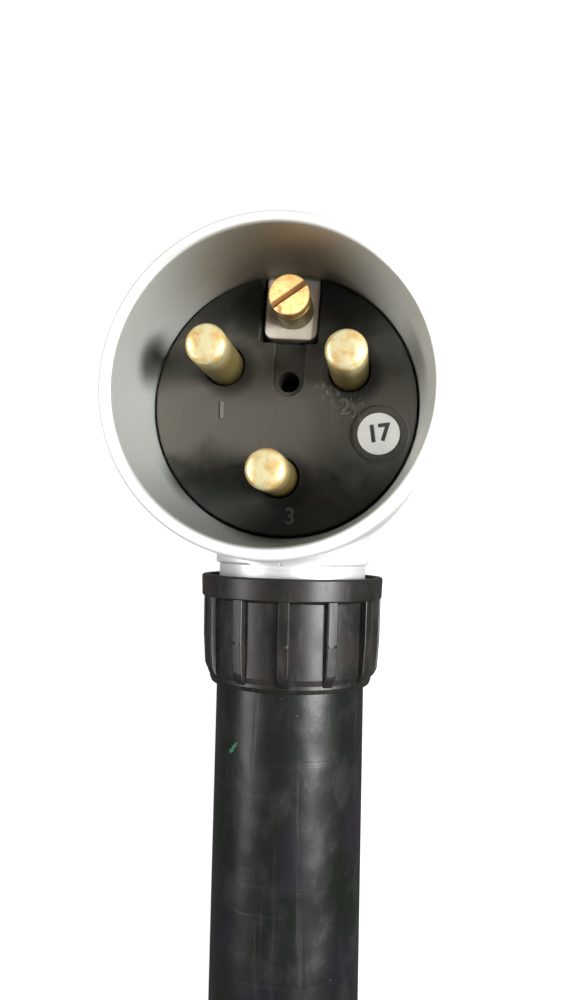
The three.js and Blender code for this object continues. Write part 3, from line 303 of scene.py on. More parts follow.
def add_sky(towards, dark, bright):
    """A sky that lights more from one direction than from the other, and looks plain white."""
    sky = bpy.data.worlds.new("sky")
    sky.use_nodes = True
    tree = sky.node_tree
    kinds = ("TexCoord", "VectorMath", "MapRange", "LightPath", "Math")
    where, along, level, rays, brightest = (tree.nodes.new("ShaderNode" + kind) for kind in kinds)
    along.operation = "DOT_PRODUCT"
    along.inputs[1].default_value = Vector(towards).normalized()
    level.inputs["From Min"].default_value = -0.8
    level.inputs["To Min"].default_value = dark
    level.inputs["To Max"].default_value = bright
    brightest.operation = "MAXIMUM"
    background = tree.nodes["Background"].inputs
    background["Color"].default_value = (1, 1, 1, 1)
    tree.links.new(where.outputs["Generated"], along.inputs[0])
    tree.links.new(along.outputs["Value"], level.inputs["Value"])
    tree.links.new(level.outputs[0], brightest.inputs[0])
    tree.links.new(rays.outputs["Is Camera Ray"], brightest.inputs[1])
    tree.links.new(brightest.outputs[0], background["Strength"])
    bpy.context.scene.world = sky


add_floor()
add_lamp("key_lamp", towards=(0.79, 0.04, 0.61), distance=2.0, size=(0.50, 0.46), power=64)
add_lamp("fill_lamp", towards=(-0.84, 0.0, 0.54), distance=2.0, size=(1.5, 0.55), power=26)
by_the_nut = (0, -0.06, 0.03)
add_lamp("streak_lamp", (0.64, -0.11, 0.75), distance=1.8, size=(0.32, 0.32), power=18, target=by_the_nut)
add_sky(towards=(0.0, 0.65, 0.75), dark=0.11, bright=0.31)
bpy.context.scene.view_settings.view_transform = "Standard"
print("lamps:", len(bpy.data.lights))

# %% [markdown]
# ## Writing finishes as sums
# A finish is a small formula: how far up a pin, how noisy, how worn. This class lets the formula be
# written with the usual signs. Each sign adds one Math node, and colours are mixed with Mix nodes.

# %% Finish helpers


class Value:
    """A number that flows through the nodes of one material."""

    def __init__(self, finish, socket):
        self.finish = finish
        self.socket = socket

    def _math(self, operation, first, second):
        return self.finish.node("ShaderNodeMath", {"operation": operation}, {0: first, 1: second})

    def __add__(self, other):
        return self._math("ADD", self, other)

    def __sub__(self, other):
        return self._math("SUBTRACT", self, other)

    def __rsub__(self, other):
        return self._math("SUBTRACT", other, self)

    def __mul__(self, other):
        return self._math("MULTIPLY", self, other)

    __radd__ = __add__
    __rmul__ = __mul__

    def between(self, low, high):
        """0 below low, 1 above high, and a smooth rise from one to the other."""
        settings = {"interpolation_type": "SMOOTHSTEP"}
        inputs = {"Value": self, "From Min": low, "From Max": high}
        return self.finish.node("ShaderNodeMapRange", settings, inputs)


class Finish:
    """One material. Its nodes come from node(), and done() sets what the surface shows."""

    def __init__(self, name):
        self.material = bpy.data.materials.new(name)
        self.material.use_nodes = True
        self.tree = self.material.node_tree
        self.surface = self.tree.nodes["Principled BSDF"]

    def node(self, kind, settings=None, inputs=None, output=0):
        made = self.tree.nodes.new(kind)
        for key, value in (settings or {}).items():
            setattr(made, key, value)
        for key, value in (inputs or {}).items():
            self._feed(made.inputs[key], value)
        return Value(self, made.outputs[output])

    def _feed(self, socket, value):
        if isinstance(value, Value):
            self.tree.links.new(value.socket, socket)
        else:
            socket.default_value = value

    def place(self, scale=(1, 1, 1)):
        """Object coordinates in millimetres, stretched by scale."""
        where = self.node("ShaderNodeTexCoord", output="Object")
        size = tuple(s / MM for s in scale)
        return self.node("ShaderNodeMapping", None, {"Vector": where, "Scale": size})

    def split(self, vector, axis):
        return self.node("ShaderNodeSeparateXYZ", None, {"Vector": vector}, output=axis)

    def noise(self, where, scale, detail=3, roughness=0.55):
        inputs = {"Vector": where, "Scale": scale, "Detail": detail, "Roughness": roughness}
        return self.node("ShaderNodeTexNoise", None, inputs)

    def specks(self, where, scale, reach):
        """1 near scattered points and 0 between them."""
        apart = self.node("ShaderNodeTexVoronoi", {"feature": "F1"}, {"Vector": where, "Scale": scale})
        return 1 - apart.between(reach * 0.4, reach)

    def length(self, vector):
        return self.node("ShaderNodeVectorMath", {"operation": "LENGTH"}, {0: vector}, output=1)

    def near(self, where, spot, full, gone):
        """1 within full millimetres of a spot, and 0 beyond gone."""
        apart = self.node("ShaderNodeVectorMath", {"operation": "DISTANCE"}, {0: where, 1: spot}, output=1)
        return 1 - apart.between(full, gone)

    def mix(self, amount, first, second):
        settings = {"data_type": "RGBA", "clamp_factor": True}
        inputs = {0: amount, 6: opaque(first), 7: opaque(second)}
        return self.node("ShaderNodeMix", settings, inputs, output=2)

    def bump(self, height, depth, strength=1.0):
        inputs = {"Height": height, "Distance": depth * MM, "Strength": strength}
        return self.node("ShaderNodeBump", None, inputs)

    def done(self, gloss=0.5, **sockets):
        """gloss is the specular level: 0.5 for most plastics, less for dull dark ones."""
        self.surface.inputs["Specular IOR Level"].default_value = gloss
        for name, value in sockets.items():
            self._feed(self.surface.inputs[name.replace("_", " ").title()], value)
        return self.material


def opaque(colour):
    return colour if isinstance(colour, Value) else (*colour, 1.0)


# %% [markdown]
# ## The cast metal
# The cup is a casting that was once bright and has gone satin. Its rim and outside are pale and its bore
# is greyer. Light and shade are painted into the colour as well. The bore's right wall, which the key lamp
# does not reach, is painted paler, and its lit left wall and its bottom wall darker. The neck has painted
# shade. The wall behind the earth contact has painted shade with a brown painted reflection of the screw,
# and is partly dirt. A painted shadow of a pin lies on the left wall, and a painted shadow of the pillar lies
# on the tab. The tab's warm pale tint is painted light and a painted reflection of the brass. Each mark is a
# soft mask in the piece's own millimetres, so it stays on the metal when the view changes. The
# connector's casting is greyer than the plug's.

# %% Cast metal
SHROUD_WALL = 2.2
CUP_BORE_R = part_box("plug_housing")[1][0] / MM - SHROUD_WALL
# painted shade on the wall behind the earth contact, with a brown painted reflection of the screw, partly dirt
SHADED_TOP_WALL = (-1.0, 25.5, 47.0)
# painted shadow of a pin on the left wall of the bore
PIN_SHADOW_ON_WALL = (-24.2, 7.6, 46.0)
# painted shadow of the earth pillar on the tab
PILLAR_SHADOW_ON_TAB = (-2.0, 17.6, 39.5)


def cast_metal():
    f = Finish("cast_metal")
    where = f.place()
    x, y, z = (f.split(where, axis) for axis in "XYZ")
    cloud = f.noise(where, 0.12, 4)
    grain = f.noise(where, 2.2, 2)
    rub = f.noise(f.place((0.25, 0.25, 3.0)), 0.5, 5).between(0.56, 0.72)
    reach = f.length(f.place((1, 1, 0)))
    past_wall = reach.between(CUP_BORE_R + 0.1, CUP_BORE_R + 0.6)
    bore = reach.between(CUP_BORE_R - 2.2, CUP_BORE_R - 1.6) * (1 - past_wall)
    # painted light: the bore is painted paler on the right wall, which the key lamp does not reach, and darker
    # on the lit left wall
    bore_grey_and_painted_light = f.mix(x.between(-20, 20), (0.49, 0.51, 0.48), (0.88, 0.89, 0.85))
    # painted shade: the bottom wall of the bore is painted darker
    bore_grey_and_painted_light = f.mix((1 - y.between(-25, -10)) * 0.75, bore_grey_and_painted_light, (0.20, 0.21, 0.195))
    # the tab's warm pale tint is painted light and a painted reflection of the brass
    tab = (1 - reach.between(CUP_BORE_R - 3.0, CUP_BORE_R - 2.4)) * z.between(36, 38)
    # painted shade on the neck: darker from y -27 mm outwards
    neck = 1 - y.between(-30.5, -27)
    connector = x.between(200, 300)
    # painted shade and a brown painted reflection of the screw on the top wall, partly dirt
    top_wall_shade = f.near(where, SHADED_TOP_WALL, 7, 27) * bore
    # painted shadow of a pin on the left wall
    pin_shadow = f.near(where, PIN_SHADOW_ON_WALL, 1, 7) * bore
    # painted shadow of the earth pillar on the tab
    foot = f.near(where, PILLAR_SHADOW_ON_TAB, 1.0, 2.8)
    colour = f.mix(cloud.between(0.35, 0.7), (0.90, 0.905, 0.89), (0.80, 0.81, 0.79))
    colour = f.mix(connector * 0.9, colour, (0.33, 0.335, 0.325))
    colour = f.mix(bore * 0.95, colour, bore_grey_and_painted_light)
    # painted shade on the neck
    colour = f.mix(neck * 0.8, colour, (0.62, 0.63, 0.61))
    # painted light and painted reflection of the brass on the tab
    colour = f.mix(tab, colour, (0.98, 0.88, 0.76))
    colour = f.mix(top_wall_shade * 0.85, colour, (0.22, 0.17, 0.105))
    colour = f.mix(pin_shadow * 0.75, colour, (0.13, 0.135, 0.12))
    # painted shadow of the pillar on the tab
    colour = f.mix(foot * 0.75, colour, (0.16, 0.10, 0.05))
    colour = f.mix(rub * 0.25, colour, (0.52, 0.52, 0.50))
    rough = 0.40 + cloud * 0.10 + rub * 0.06
    normal = f.bump(grain * 0.5 + cloud, 0.05, 0.35)
    return f.done(base_color=colour, metallic=0.55 - tab * 0.45, roughness=rough, normal=normal)


cast = cast_metal()
print("cup's bore:", round(CUP_BORE_R, 1), "mm")

# %% [markdown]
# ## Brass, steel and copper
# The pins are turned brass, rubbed bright on their tips by use, olive further down where they
# tarnish, with painted shade at the foot. A thin film of oxide makes the brass less than fully
# metallic. The earth pillar is tarnished almost all over, which also paints the shade under the screw
# head. The clamp screw is a redder brass, with painted shade in its slot and round its side. A bright
# metal is mostly what it reflects, so these need few colours.

# %% Brass, steel and copper
SCREW_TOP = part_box("earth_screw")[1][2] / MM


def pin_brass(name, tarnish_from, tarnish_to):
    """Brass that is bright above one height and olive with tarnish below another, in millimetres."""
    f = Finish(name)
    where = f.place()
    height = f.split(where, "Z")
    blotch = f.noise(where, 0.42, 4, 0.6)
    turned = f.noise(f.place((0.15, 0.15, 5.0)), 1.0, 2)
    tarnish = 1 - (height + blotch * 3.0 - 1.5).between(tarnish_from, tarnish_to)
    colour = f.mix(blotch.between(0.38, 0.66), (1.0, 0.91, 0.53), (0.86, 0.56, 0.21))
    colour = f.mix(tarnish * 0.9, colour, (0.185, 0.14, 0.030))
    # painted shade at the foot, where the brass stands in the insulator
    foot = 1 - (height + blotch * 3.0).between(tarnish_from - 8, tarnish_from - 2)
    colour = f.mix(foot * 0.65, colour, (0.060, 0.042, 0.014))
    rough = 0.24 + blotch * 0.12 + tarnish * 0.10
    normal = f.bump(turned * 0.4 + blotch, 0.04, 0.3)
    return f.done(base_color=colour, metallic=0.64, roughness=rough, normal=normal)


def screw_brass():
    f = Finish("screw_brass")
    where = f.place()
    blotch = f.noise(where, 0.9, 4)
    dirt = f.noise(where, 2.4, 3).between(0.55, 0.75)
    # painted shade in the slot and round the head's side, below its top face
    deep = 1 - f.split(where, "Z").between(SCREW_TOP - 1.2, SCREW_TOP - 0.25)
    colour = f.mix(blotch.between(0.4, 0.7), (1.0, 0.67, 0.27), (1.0, 0.45, 0.15))
    colour = f.mix(dirt * 0.5, colour, (0.30, 0.14, 0.04))
    # painted shade in the slot and round the side
    colour = f.mix(deep * 0.9, colour, (0.17, 0.07, 0.02))
    rough = 0.30 + blotch * 0.12
    return f.done(base_color=colour, metallic=0.04, roughness=rough, normal=f.bump(blotch, 0.05, 0.3))


def plated_steel():
    f = Finish("plated_steel")
    cloud = f.noise(f.place(), 0.8, 3)
    colour = f.mix(cloud, (0.52, 0.52, 0.50), (0.40, 0.40, 0.41))
    return f.done(base_color=colour, metallic=1.0, roughness=0.26 + cloud * 0.12)


def copper_strand():
    f = Finish("copper_strand")
    strands = f.noise(f.place((1, 1, 0.1)), 3.0, 1)
    colour = f.mix(strands, (0.62, 0.24, 0.10), (0.42, 0.14, 0.05))
    rough = 0.34 + strands * 0.1
    return f.done(base_color=colour, metallic=1.0, roughness=rough, normal=f.bump(strands, 0.1, 0.5))


bright_pin = pin_brass("pin_brass", 50, 58)
# the pillar is tarnished almost all over: partly tarnish, partly painted shade under the screw head
pillar_brass = pin_brass("pillar_brass", 46, 56)
socket_brass = pin_brass("socket_brass", -40, -20)
orange_brass = screw_brass()
steel = plated_steel()
copper = copper_strand()
print("metals ready")

# %% [markdown]
# ## The black moulding
# The insulator is a hard moulding. Over the middle of its face lies a grey haze, partly dust and partly
# painted light: it is painted paler towards the right, where the rim shades the face from the key lamp.
# Painted shade darkens the face round the pins' feet, the face is paler towards the bottom, and a tool
# has left hair scratches beside one pin. The raised numbers are worn paler on their tops.

# %% Black moulding
FACE_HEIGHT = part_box("insulator")[1][2] / MM
PIN_FOOT_SHADE = ((-10.5, 6.8, 41.5), (12.8, 5.4, 41.5), (0.6, -14.4, 41.5))
SCRATCHES = ((9.0, 3.6, 41.5), (12.4, -0.2, 41.5))
FACE_REACH = 25


def moulded_black():
    f = Finish("moulded_black")
    where = f.place()
    cloud = f.noise(where, 0.16, 4)
    dust = f.specks(where, 0.9, 0.14) * f.noise(where, 0.12, 2).between(0.55, 0.7)
    brushed = f.noise(f.place((4.0, 0.16, 1)), 1.0, 5).between(0.35, 0.75)
    up = f.split(where, "Y") + cloud * 18 - 9
    # a band across the middle of the face: partly grey dust, partly painted light
    haze_and_light_band = up.between(-19, -6) * (1 - up.between(6, 18)) * (0.90 + brushed * 0.10)
    # painted light: paler towards +X, where the rim shades the face from the key lamp
    haze_colour_and_painted_light = f.mix(f.split(where, "X").between(-6, 16), (0.075, 0.068, 0.056), (0.100, 0.096, 0.083))
    hair = f.noise(f.place((1.7, 0.55, 1)), 1.2, 6, 0.8).between(0.53, 0.60)
    scratched = sum(f.near(where, spot, 0, 4.5) for spot in SCRATCHES) * hair
    worn_top = f.split(where, "Z").between(FACE_HEIGHT + 0.10, FACE_HEIGHT + 0.20)
    worn_top = worn_top * f.near(where, (0, 0, FACE_HEIGHT), FACE_REACH, FACE_REACH + 1)
    colour = f.mix(cloud.between(0.3, 0.7), (0.008, 0.0105, 0.0075), (0.015, 0.014, 0.011))
    colour = f.mix(1 - up.between(-22, -12), colour, (0.023, 0.026, 0.020))
    colour = f.mix(haze_and_light_band, colour, haze_colour_and_painted_light)
    colour = f.mix(scratched * 0.85, colour, (0.42, 0.41, 0.37))
    # painted shade round the pins' feet
    for spot in PIN_FOOT_SHADE:
        colour = f.mix(f.near(where, spot, 3.6, 6.5) * 0.75, colour, (0.004, 0.0045, 0.0035))
    colour = f.mix(worn_top * 0.6, colour, (0.16, 0.155, 0.14))
    colour = f.mix(dust * 0.2, colour, (0.30, 0.28, 0.25))
    rough = 0.32 + cloud * 0.16 + dust * 0.2 + brushed * 0.06
    normal = f.bump(f.noise(where, 1.4, 3) + brushed * 0.25, 0.03, 0.35)
    return f.done(gloss=0.25, base_color=colour, roughness=rough, normal=normal)


black = moulded_black()
print("face of the insulator:", round(FACE_HEIGHT, 1), "mm")

# %% [markdown]
# ## The nut's nylon and the cord's rubber
# The nut is tough and a little dull. The jacket of the cord is smooth rubber that has been dragged
# over concrete: its scuffs run round and along it, with pale specks and one slanted smear of green
# paint. The scuffs follow the cord's UV map. The dents and clouds read the cord's place, which has no
# seam.

# %% Nylon and rubber
PAINT_MARK = (-9.4, -64.8, 32.6)
PAINT_TURN = (0, 0, math.radians(-33))
PAINT_SIZE = (0.34, 1.5, 3.0)


def nut_nylon():
    f = Finish("nut_nylon")
    where = f.place()
    cloud = f.noise(where, 0.14, 4)
    wear = f.noise(f.place((1, 0.4, 1)), 0.5, 4).between(0.50, 0.72)
    colour = f.mix(cloud.between(0.3, 0.7), (0.006, 0.008, 0.0055), (0.017, 0.0135, 0.011))
    colour = f.mix(wear * 0.25, colour, (0.045, 0.045, 0.045))
    rough = 0.31 + cloud * 0.12 + wear * 0.08
    normal = f.bump(wear * 0.2 + cloud, 0.06, 0.35)
    return f.done(gloss=0.34, base_color=colour, roughness=rough, normal=normal)


def cord_rubber():
    f = Finish("cord_rubber")
    where = f.place()
    along = f.node("ShaderNodeUVMap", {"uv_map": "jacket"})
    stretched = f.node("ShaderNodeMapping", None, {"Vector": along, "Scale": (900, 60, 1)})
    across = f.node("ShaderNodeMapping", None, {"Vector": along, "Scale": (60, 900, 1)})
    drag = f.noise(stretched, 0.5, 4).between(0.56, 0.76)
    rings = f.noise(across, 0.4, 3).between(0.58, 0.78)
    cloud = f.noise(where, 0.07, 4)
    patch = f.noise(f.place((1, 0.6, 1)), 0.15, 5, 0.62).between(0.46, 0.66)
    specks = f.specks(where, 0.33, 0.10) * f.noise(where, 0.2, 2).between(0.45, 0.65)
    colour = f.mix(cloud.between(0.35, 0.65), (0.0045, 0.0066, 0.0040), (0.0085, 0.0070, 0.0102))
    colour = f.mix(patch * 0.5, colour, (0.020, 0.0195, 0.0185))
    colour = f.mix(drag * 0.2 + rings * 0.12, colour, (0.05, 0.049, 0.046))
    colour = f.mix(specks * 0.25, colour, (0.12, 0.12, 0.10))
    smear = {"Vector": where, "Location": PAINT_MARK, "Rotation": PAINT_TURN, "Scale": PAINT_SIZE}
    centred = f.node("ShaderNodeMapping", {"vector_type": "TEXTURE"}, smear)
    paint = 1 - (f.length(centred) + f.noise(where, 1.6, 3) * 1.6 - 0.8).between(0.6, 1.2)
    colour = f.mix(paint * 0.6, colour, (0.05, 0.29, 0.15))
    rough = 0.30 + cloud * 0.08 + patch * 0.08 + drag * 0.08
    dents = f.noise(where, 0.11, 1.0)
    height = drag * 0.15 + rings * 0.1 + dents * 2.0 + patch * 0.1
    return f.done(gloss=0.33, base_color=colour, roughness=rough, normal=f.bump(height, 0.26, 0.7))


nylon = nut_nylon()
rubber = cord_rubber()
print("nylon and rubber ready")

# %% [markdown]
# ## Plain mouldings and webbing
# The label, its figures, the seals and the cores' jackets are each one colour with a little
# variation. The straps are woven: two waves on the UV map cross each other, as ribs and picks do.

# %% Plain mouldings and webbing
LABEL_WHITE = ((0.97, 0.97, 0.95), (0.92, 0.92, 0.90))
LABEL_INK = ((0.035, 0.035, 0.038), (0.06, 0.06, 0.06))
SEAL_GREY = ((0.07, 0.07, 0.066), (0.05, 0.05, 0.048))


def plain_mould(name, colour, darker):
    """A soft satin moulding or extrusion of one colour with a little variation."""
    f = Finish(name)
    cloud = f.noise(f.place(), 0.35, 4)
    mixed = f.mix(cloud.between(0.35, 0.65), colour, darker)
    return f.done(base_color=mixed, roughness=0.45 + cloud * 0.15, normal=f.bump(cloud, 0.05, 0.3))


def webbing():
    f = Finish("webbing")
    along = f.node("ShaderNodeUVMap", {"uv_map": "strap"})
    scaled = f.node("ShaderNodeMapping", None, {"Vector": along, "Scale": (1 / MM, 1 / MM, 1)})
    ribs, picks = (
        f.node("ShaderNodeTexWave", {"bands_direction": way}, {"Vector": scaled, "Scale": scale}, output=1)
        for way, scale in (("X", 0.9), ("Y", 0.45))
    )
    rib = ribs * 0.5 + picks * 0.5
    fuzz = f.noise(f.place(), 2.0, 3)
    colour = f.mix(rib * 0.7 + fuzz * 0.3, (0.010, 0.011, 0.013), (0.050, 0.052, 0.057))
    return f.done(base_color=colour, roughness=0.9, normal=f.bump(rib + fuzz * 0.2, 0.25, 0.7))


label_white = plain_mould("label_white", *LABEL_WHITE)
label_ink = plain_mould("label_ink", *LABEL_INK)
seal_grey = plain_mould("seal_grey", *SEAL_GREY)
strap_cloth = webbing()
print("materials:", len(bpy.data.materials))

# %% [markdown]
# ## Handing a piece over
# A finished piece needs plain mesh data, its finish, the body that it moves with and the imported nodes
# that it stands for. One function does all of it, so that no piece is left half dressed. The cord is
# the first.

# %% Dressing a piece


def baked(piece):
    """A piece's mesh as its modifiers leave it."""
    graph = bpy.context.evaluated_depsgraph_get()
    return bpy.data.meshes.new_from_object(piece.evaluated_get(graph))


def settle(piece):
    """Replaces a piece's mesh by what its modifiers make of it."""
    old, piece.data = piece.data, baked(piece)
    piece.modifiers.clear()
    bpy.data.meshes.remove(old)


def dress(piece, material, body, slot, *replaced):
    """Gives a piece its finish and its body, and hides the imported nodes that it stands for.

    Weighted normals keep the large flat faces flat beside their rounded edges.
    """
    even = piece.modifiers.new("even_shading", "WEIGHTED_NORMAL")
    even.keep_sharp = True
    settle(piece)
    piece.data.materials.clear()
    piece.data.materials.append(material)
    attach(piece, body)
    if replaced:
        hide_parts(*replaced)


dress(cord, rubber, "lead", "cord_rubber", "cord_lead", "cord_coil", "cord_tail")
print("cord dressed")

# %% [markdown]
# ## Turned and cut shapes
# Almost every piece here is turned on a lathe, moulded round or cut with a drill, so a few helpers
# make them all. `rounded` rounds the corners of a profile, `lathe` turns it, and `carve` cuts one
# closed shape from another. A hole's edge is never knife-sharp, so `flared_cutter` widens each cutter
# at its mouth, and the cut comes out with a round edge that catches the light.

# %% Rounded profiles
FINE = 192
ROUND = 96
SMALL = 48


def rounded(corners, steps=5):
    """The points of a profile given as (x, y) or (x, y, corner radius)."""
    points = []
    for i, (x, y, *radius) in enumerate(corners):
        here = Vector((x, y))
        if not radius:
            points.append((x, y))
            continue
        before = (Vector(corners[i - 1][:2]) - here).normalized()
        after = (Vector(corners[(i + 1) % len(corners)][:2]) - here).normalized()
        half = before.angle(after) / 2
        run = radius[0] / math.tan(half)
        centre = here + (before + after).normalized() * radius[0] / math.sin(half)
        start = here + before * run - centre
        end = here + after * run - centre
        sweep = math.atan2(start.x * end.y - start.y * end.x, start.dot(end))
        for k in range(steps + 1):
            cos, sin = math.cos(sweep * k / steps), math.sin(sweep * k / steps)
            points.append((centre.x + start.x * cos - start.y * sin, centre.y + start.x * sin + start.y * cos))
    return points


print("points round a rounded square:", len(rounded([(0, 0, 1), (5, 0, 1), (5, 5, 1), (0, 5, 1)])))

# %% Places
UP = Matrix.Identity(4)


def in_mm(place=UP):
    return Matrix.Scale(MM, 4) @ place


def moved(x, y, z=0.0):
    return Matrix.Translation((x, y, z))


def turned_z(angle):
    return Matrix.Rotation(math.radians(angle), 4, "Z")


def across_to(angle):
    """Turns Z to point sideways along an angle, as a screw does that goes in from the side."""
    return turned_z(angle) @ Matrix.Rotation(math.radians(90), 4, "Y")


def polar(radius, angle):
    return radius * math.cos(math.radians(angle)), radius * math.sin(math.radians(angle))


# %% Turned shapes


def lathe_faces(profile, facets, closed):
    vertices, rings = [], []
    for radius, height in profile:
        start = len(vertices)
        if radius < 1e-6:
            vertices.append((0, 0, height))
            rings.append([start] * facets)
            continue
        for k in range(facets):
            angle = math.tau * k / facets
            vertices.append((radius * math.cos(angle), radius * math.sin(angle), height))
        rings.append(list(range(start, start + facets)))
    faces = []
    pairs = list(zip(rings, rings[1:])) + ([(rings[-1], rings[0])] if closed else [])
    for low, high in pairs:
        for k in range(facets):
            n = (k + 1) % facets
            face = list(dict.fromkeys((low[k], low[n], high[n], high[k])))
            if len(face) > 2:
                faces.append(tuple(face))
    return vertices, faces


def lathe(name, profile, facets=ROUND, closed=False, place=UP, smooth_angle=30):
    """A profile in millimetres turned about Z, then put in place."""
    vertices, faces = lathe_faces(profile, facets, closed)
    return finished(name, vertices, faces, smooth_angle, in_mm(place))


def bar(radius, low, high, place=UP, facets=SMALL):
    """A plain round bar from one height to another. Most of them are drills."""
    return lathe("bar", [(0, low), (radius, low), (radius, high), (0, high)], facets, place=place)


# %% Moulded shapes


def loft(name, rings, place=UP, smooth_angle=30):
    """A closed shape through rings of equally many points, in millimetres."""
    count = len(rings[0])
    vertices = [point for ring in rings for point in ring]
    ends = [tuple(range(count)), tuple(range(len(vertices) - count, len(vertices)))]
    return finished(name, vertices, ends + skin(len(rings), count), smooth_angle, in_mm(place))


def stacked(name, outline, levels, place=UP):
    """A closed shape from levels of (height, grow). outline(grow) gives its points at one level."""
    return loft(name, [[(x, y, height) for x, y in outline(grow)] for height, grow in levels], place)


def flared_cutter(outline, bottom, top, flare, place=UP, steps=4):
    """A cutter whose outline grows by flare at its mouth."""
    levels = [(bottom, 0.0)]
    for k in range(steps + 1):
        turn = math.pi / 2 * k / steps
        levels.append((top - flare + flare * math.sin(turn), flare * (1 - math.cos(turn))))
    levels.append((top + 1.0, flare))
    return stacked("cutter", outline, levels, place)


def circle(radius, centre=(0, 0)):
    def outline(grow):
        wide = radius + grow
        angles = [math.tau * k / SMALL for k in range(SMALL)]
        return [(centre[0] + wide * math.cos(a), centre[1] + wide * math.sin(a)) for a in angles]

    return outline


def tongue(centre_x, half, near, far, corner):
    """An outline open towards +Y, whose near end has round corners."""

    def outline(grow):
        wide, low, bend = half + grow, near - grow, corner + grow
        points = [(centre_x + wide, far), (centre_x - wide, far)]
        for start, side in ((math.pi, -1), (1.5 * math.pi, 1)):
            for k in range(9):
                turn = start + math.pi / 2 * k / 8
                x = centre_x + side * (wide - bend) + bend * math.cos(turn)
                points.append((x, low + bend + bend * math.sin(turn)))
        return points

    return outline


# %% Cutting and joining


def carve(piece, others, operation="DIFFERENCE", smooth_angle=30):
    """Cuts other closed shapes from a piece, or joins them to it, and deletes them."""
    for other in others:
        cut = piece.modifiers.new("cut", "BOOLEAN")
        cut.object = other
        cut.operation = operation
        cut.solver = "MANIFOLD"
    settle(piece)
    for other in others:
        bpy.data.objects.remove(other)
    shade(piece.data, smooth_angle)
    return piece


def drill(piece, cutters):
    """Cuts one shape after the other, each from what the last one left."""
    for cutter in cutters:
        carve(piece, [cutter])
    return piece


print("shape helpers ready")

# %% [markdown]
# ## The plug housing
# It is one casting: a cup with a slight draft, a thin lip, a neck that leaves at a right angle, and a
# tab for the earth contact that stands up at the wall. The neck meets the cup in a rolled fillet, as
# a cast corner does, so its skirt is worked out as the path of a ball that touches both cylinders.

# %% Sizes of the cup and its neck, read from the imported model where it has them
housing_low, housing_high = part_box("plug_housing")
RIM_HEIGHT = housing_high[2] / MM
SHROUD_R = housing_high[0] / MM
SEAT_R = CUP_BORE_R - 1.4
CHAMBER_R = SEAT_R - 2.2
BOTTOM = 4.0
LEDGE_HEIGHT = 28.0
NECK_HEIGHT = 21.0
NECK_R = 15.7
THREAD_R = 15.0
NECK_STEP = 29.5
THREAD_END = -housing_low[1] / MM
NECK_BORE_R = 12.6
NECK_FILLET = 2.2
ALONG_NECK = moved(0, 0, NECK_HEIGHT) @ Matrix.Rotation(math.radians(90), 4, "X")
print(f"rim {RIM_HEIGHT:.1f}, shroud {SHROUD_R:.1f}, face {FACE_HEIGHT:.1f} mm")

# %% Places of the contacts
DISC_TURN = turned_z(-3.0)
PIN_ANGLES = (150, 30, 270)
PIN_CIRCLE = 13.4
PIN_R = 3.5
PIN_PLACES = [DISC_TURN @ moved(*polar(PIN_CIRCLE, angle)) for angle in PIN_ANGLES]
BARREL_R = 4.7
BARREL_TOP = 33.3
BARREL_END = 22.0
EARTH_R = 18
EARTH_PLACE = DISC_TURN @ moved(0.5, EARTH_R)
LABEL_SPOT = polar(18.1, -13.9)
LABEL_PLACE = DISC_TURN @ moved(*LABEL_SPOT)
WIRE_HEIGHT = 12.0
WIRE_HOLE_R = 1.8
CLAMP_HOLE_R = 1.9
SCREW_HOLE_R = 2.0
FIT = 0.3
print("pins on a circle of", 2 * PIN_CIRCLE, "mm")

# %% Neck


def neck_with_fillet(cup_r, neck_r, fillet, count=FINE):
    """Rings from inside the cup's wall, round the fillet, to the end of the thread."""
    rings = []
    steps = 10
    for step in range(-1, steps + 1):
        ring = []
        for k in range(count):
            angle = math.tau * k / count
            ball_x = (neck_r + fillet) * math.cos(angle)
            ball_z = (neck_r + fillet) * math.sin(angle)
            ball_y = -math.sqrt((cup_r + fillet) ** 2 - ball_x**2)
            ball = Vector((ball_x, ball_y, ball_z))
            on_cup = Vector((ball_x, ball_y, 0)) * (cup_r / (cup_r + fillet)) + Vector((0, 0, ball_z))
            on_neck = Vector((neck_r * math.cos(angle), ball_y, neck_r * math.sin(angle)))
            if step < 0:
                ring.append((on_cup.x * 0.9, on_cup.y * 0.9, on_cup.z))
                continue
            touch = (on_cup - ball).slerp(on_neck - ball, step / steps)
            ring.append(tuple(ball + touch * fillet / touch.length))
        rings.append(ring)
    profile = rounded(
        [
            (neck_r, NECK_STEP - 4),
            (neck_r, NECK_STEP, 0.35),
            (THREAD_R, NECK_STEP, 0.3),
            (THREAD_R, THREAD_END, 0.5),
            (NECK_BORE_R, THREAD_END),
        ]
    )
    for radius, reach in profile:
        ring = []
        for k in range(count):
            angle = math.tau * k / count
            ring.append((radius * math.cos(angle), -reach, radius * math.sin(angle)))
        rings.append(ring)
    return loft("neck", rings, moved(0, 0, NECK_HEIGHT))


# %% Earth tab
TAB_HALF = 5.0
TAB_NEAR = 12.7
TAB_HEIGHT = FACE_HEIGHT - 2
TAB_EDGE = 0.35


def make_tab():
    """The tab that carries the earth contact, with a round edge to its top."""
    outline = tongue(0, TAB_HALF, TAB_NEAR, SEAT_R + 1.2, 1.5)
    levels = [(2.0, 0.0), (TAB_HEIGHT - TAB_EDGE, 0.0)]
    for k in range(1, 5):
        turn = math.pi / 8 * k
        height = TAB_HEIGHT - TAB_EDGE + TAB_EDGE * math.sin(turn)
        levels.append((height, -TAB_EDGE * (1 - math.cos(turn))))
    return stacked("tab", outline, levels, DISC_TURN)


# %% Whole housing
NICK = [(0, -0.35), (0.25, -0.25), (0.35, 0), (0.25, 0.25), (0, 0.35)]
NICK_PLACE = moved(-0.4, -29.3, 36.9)


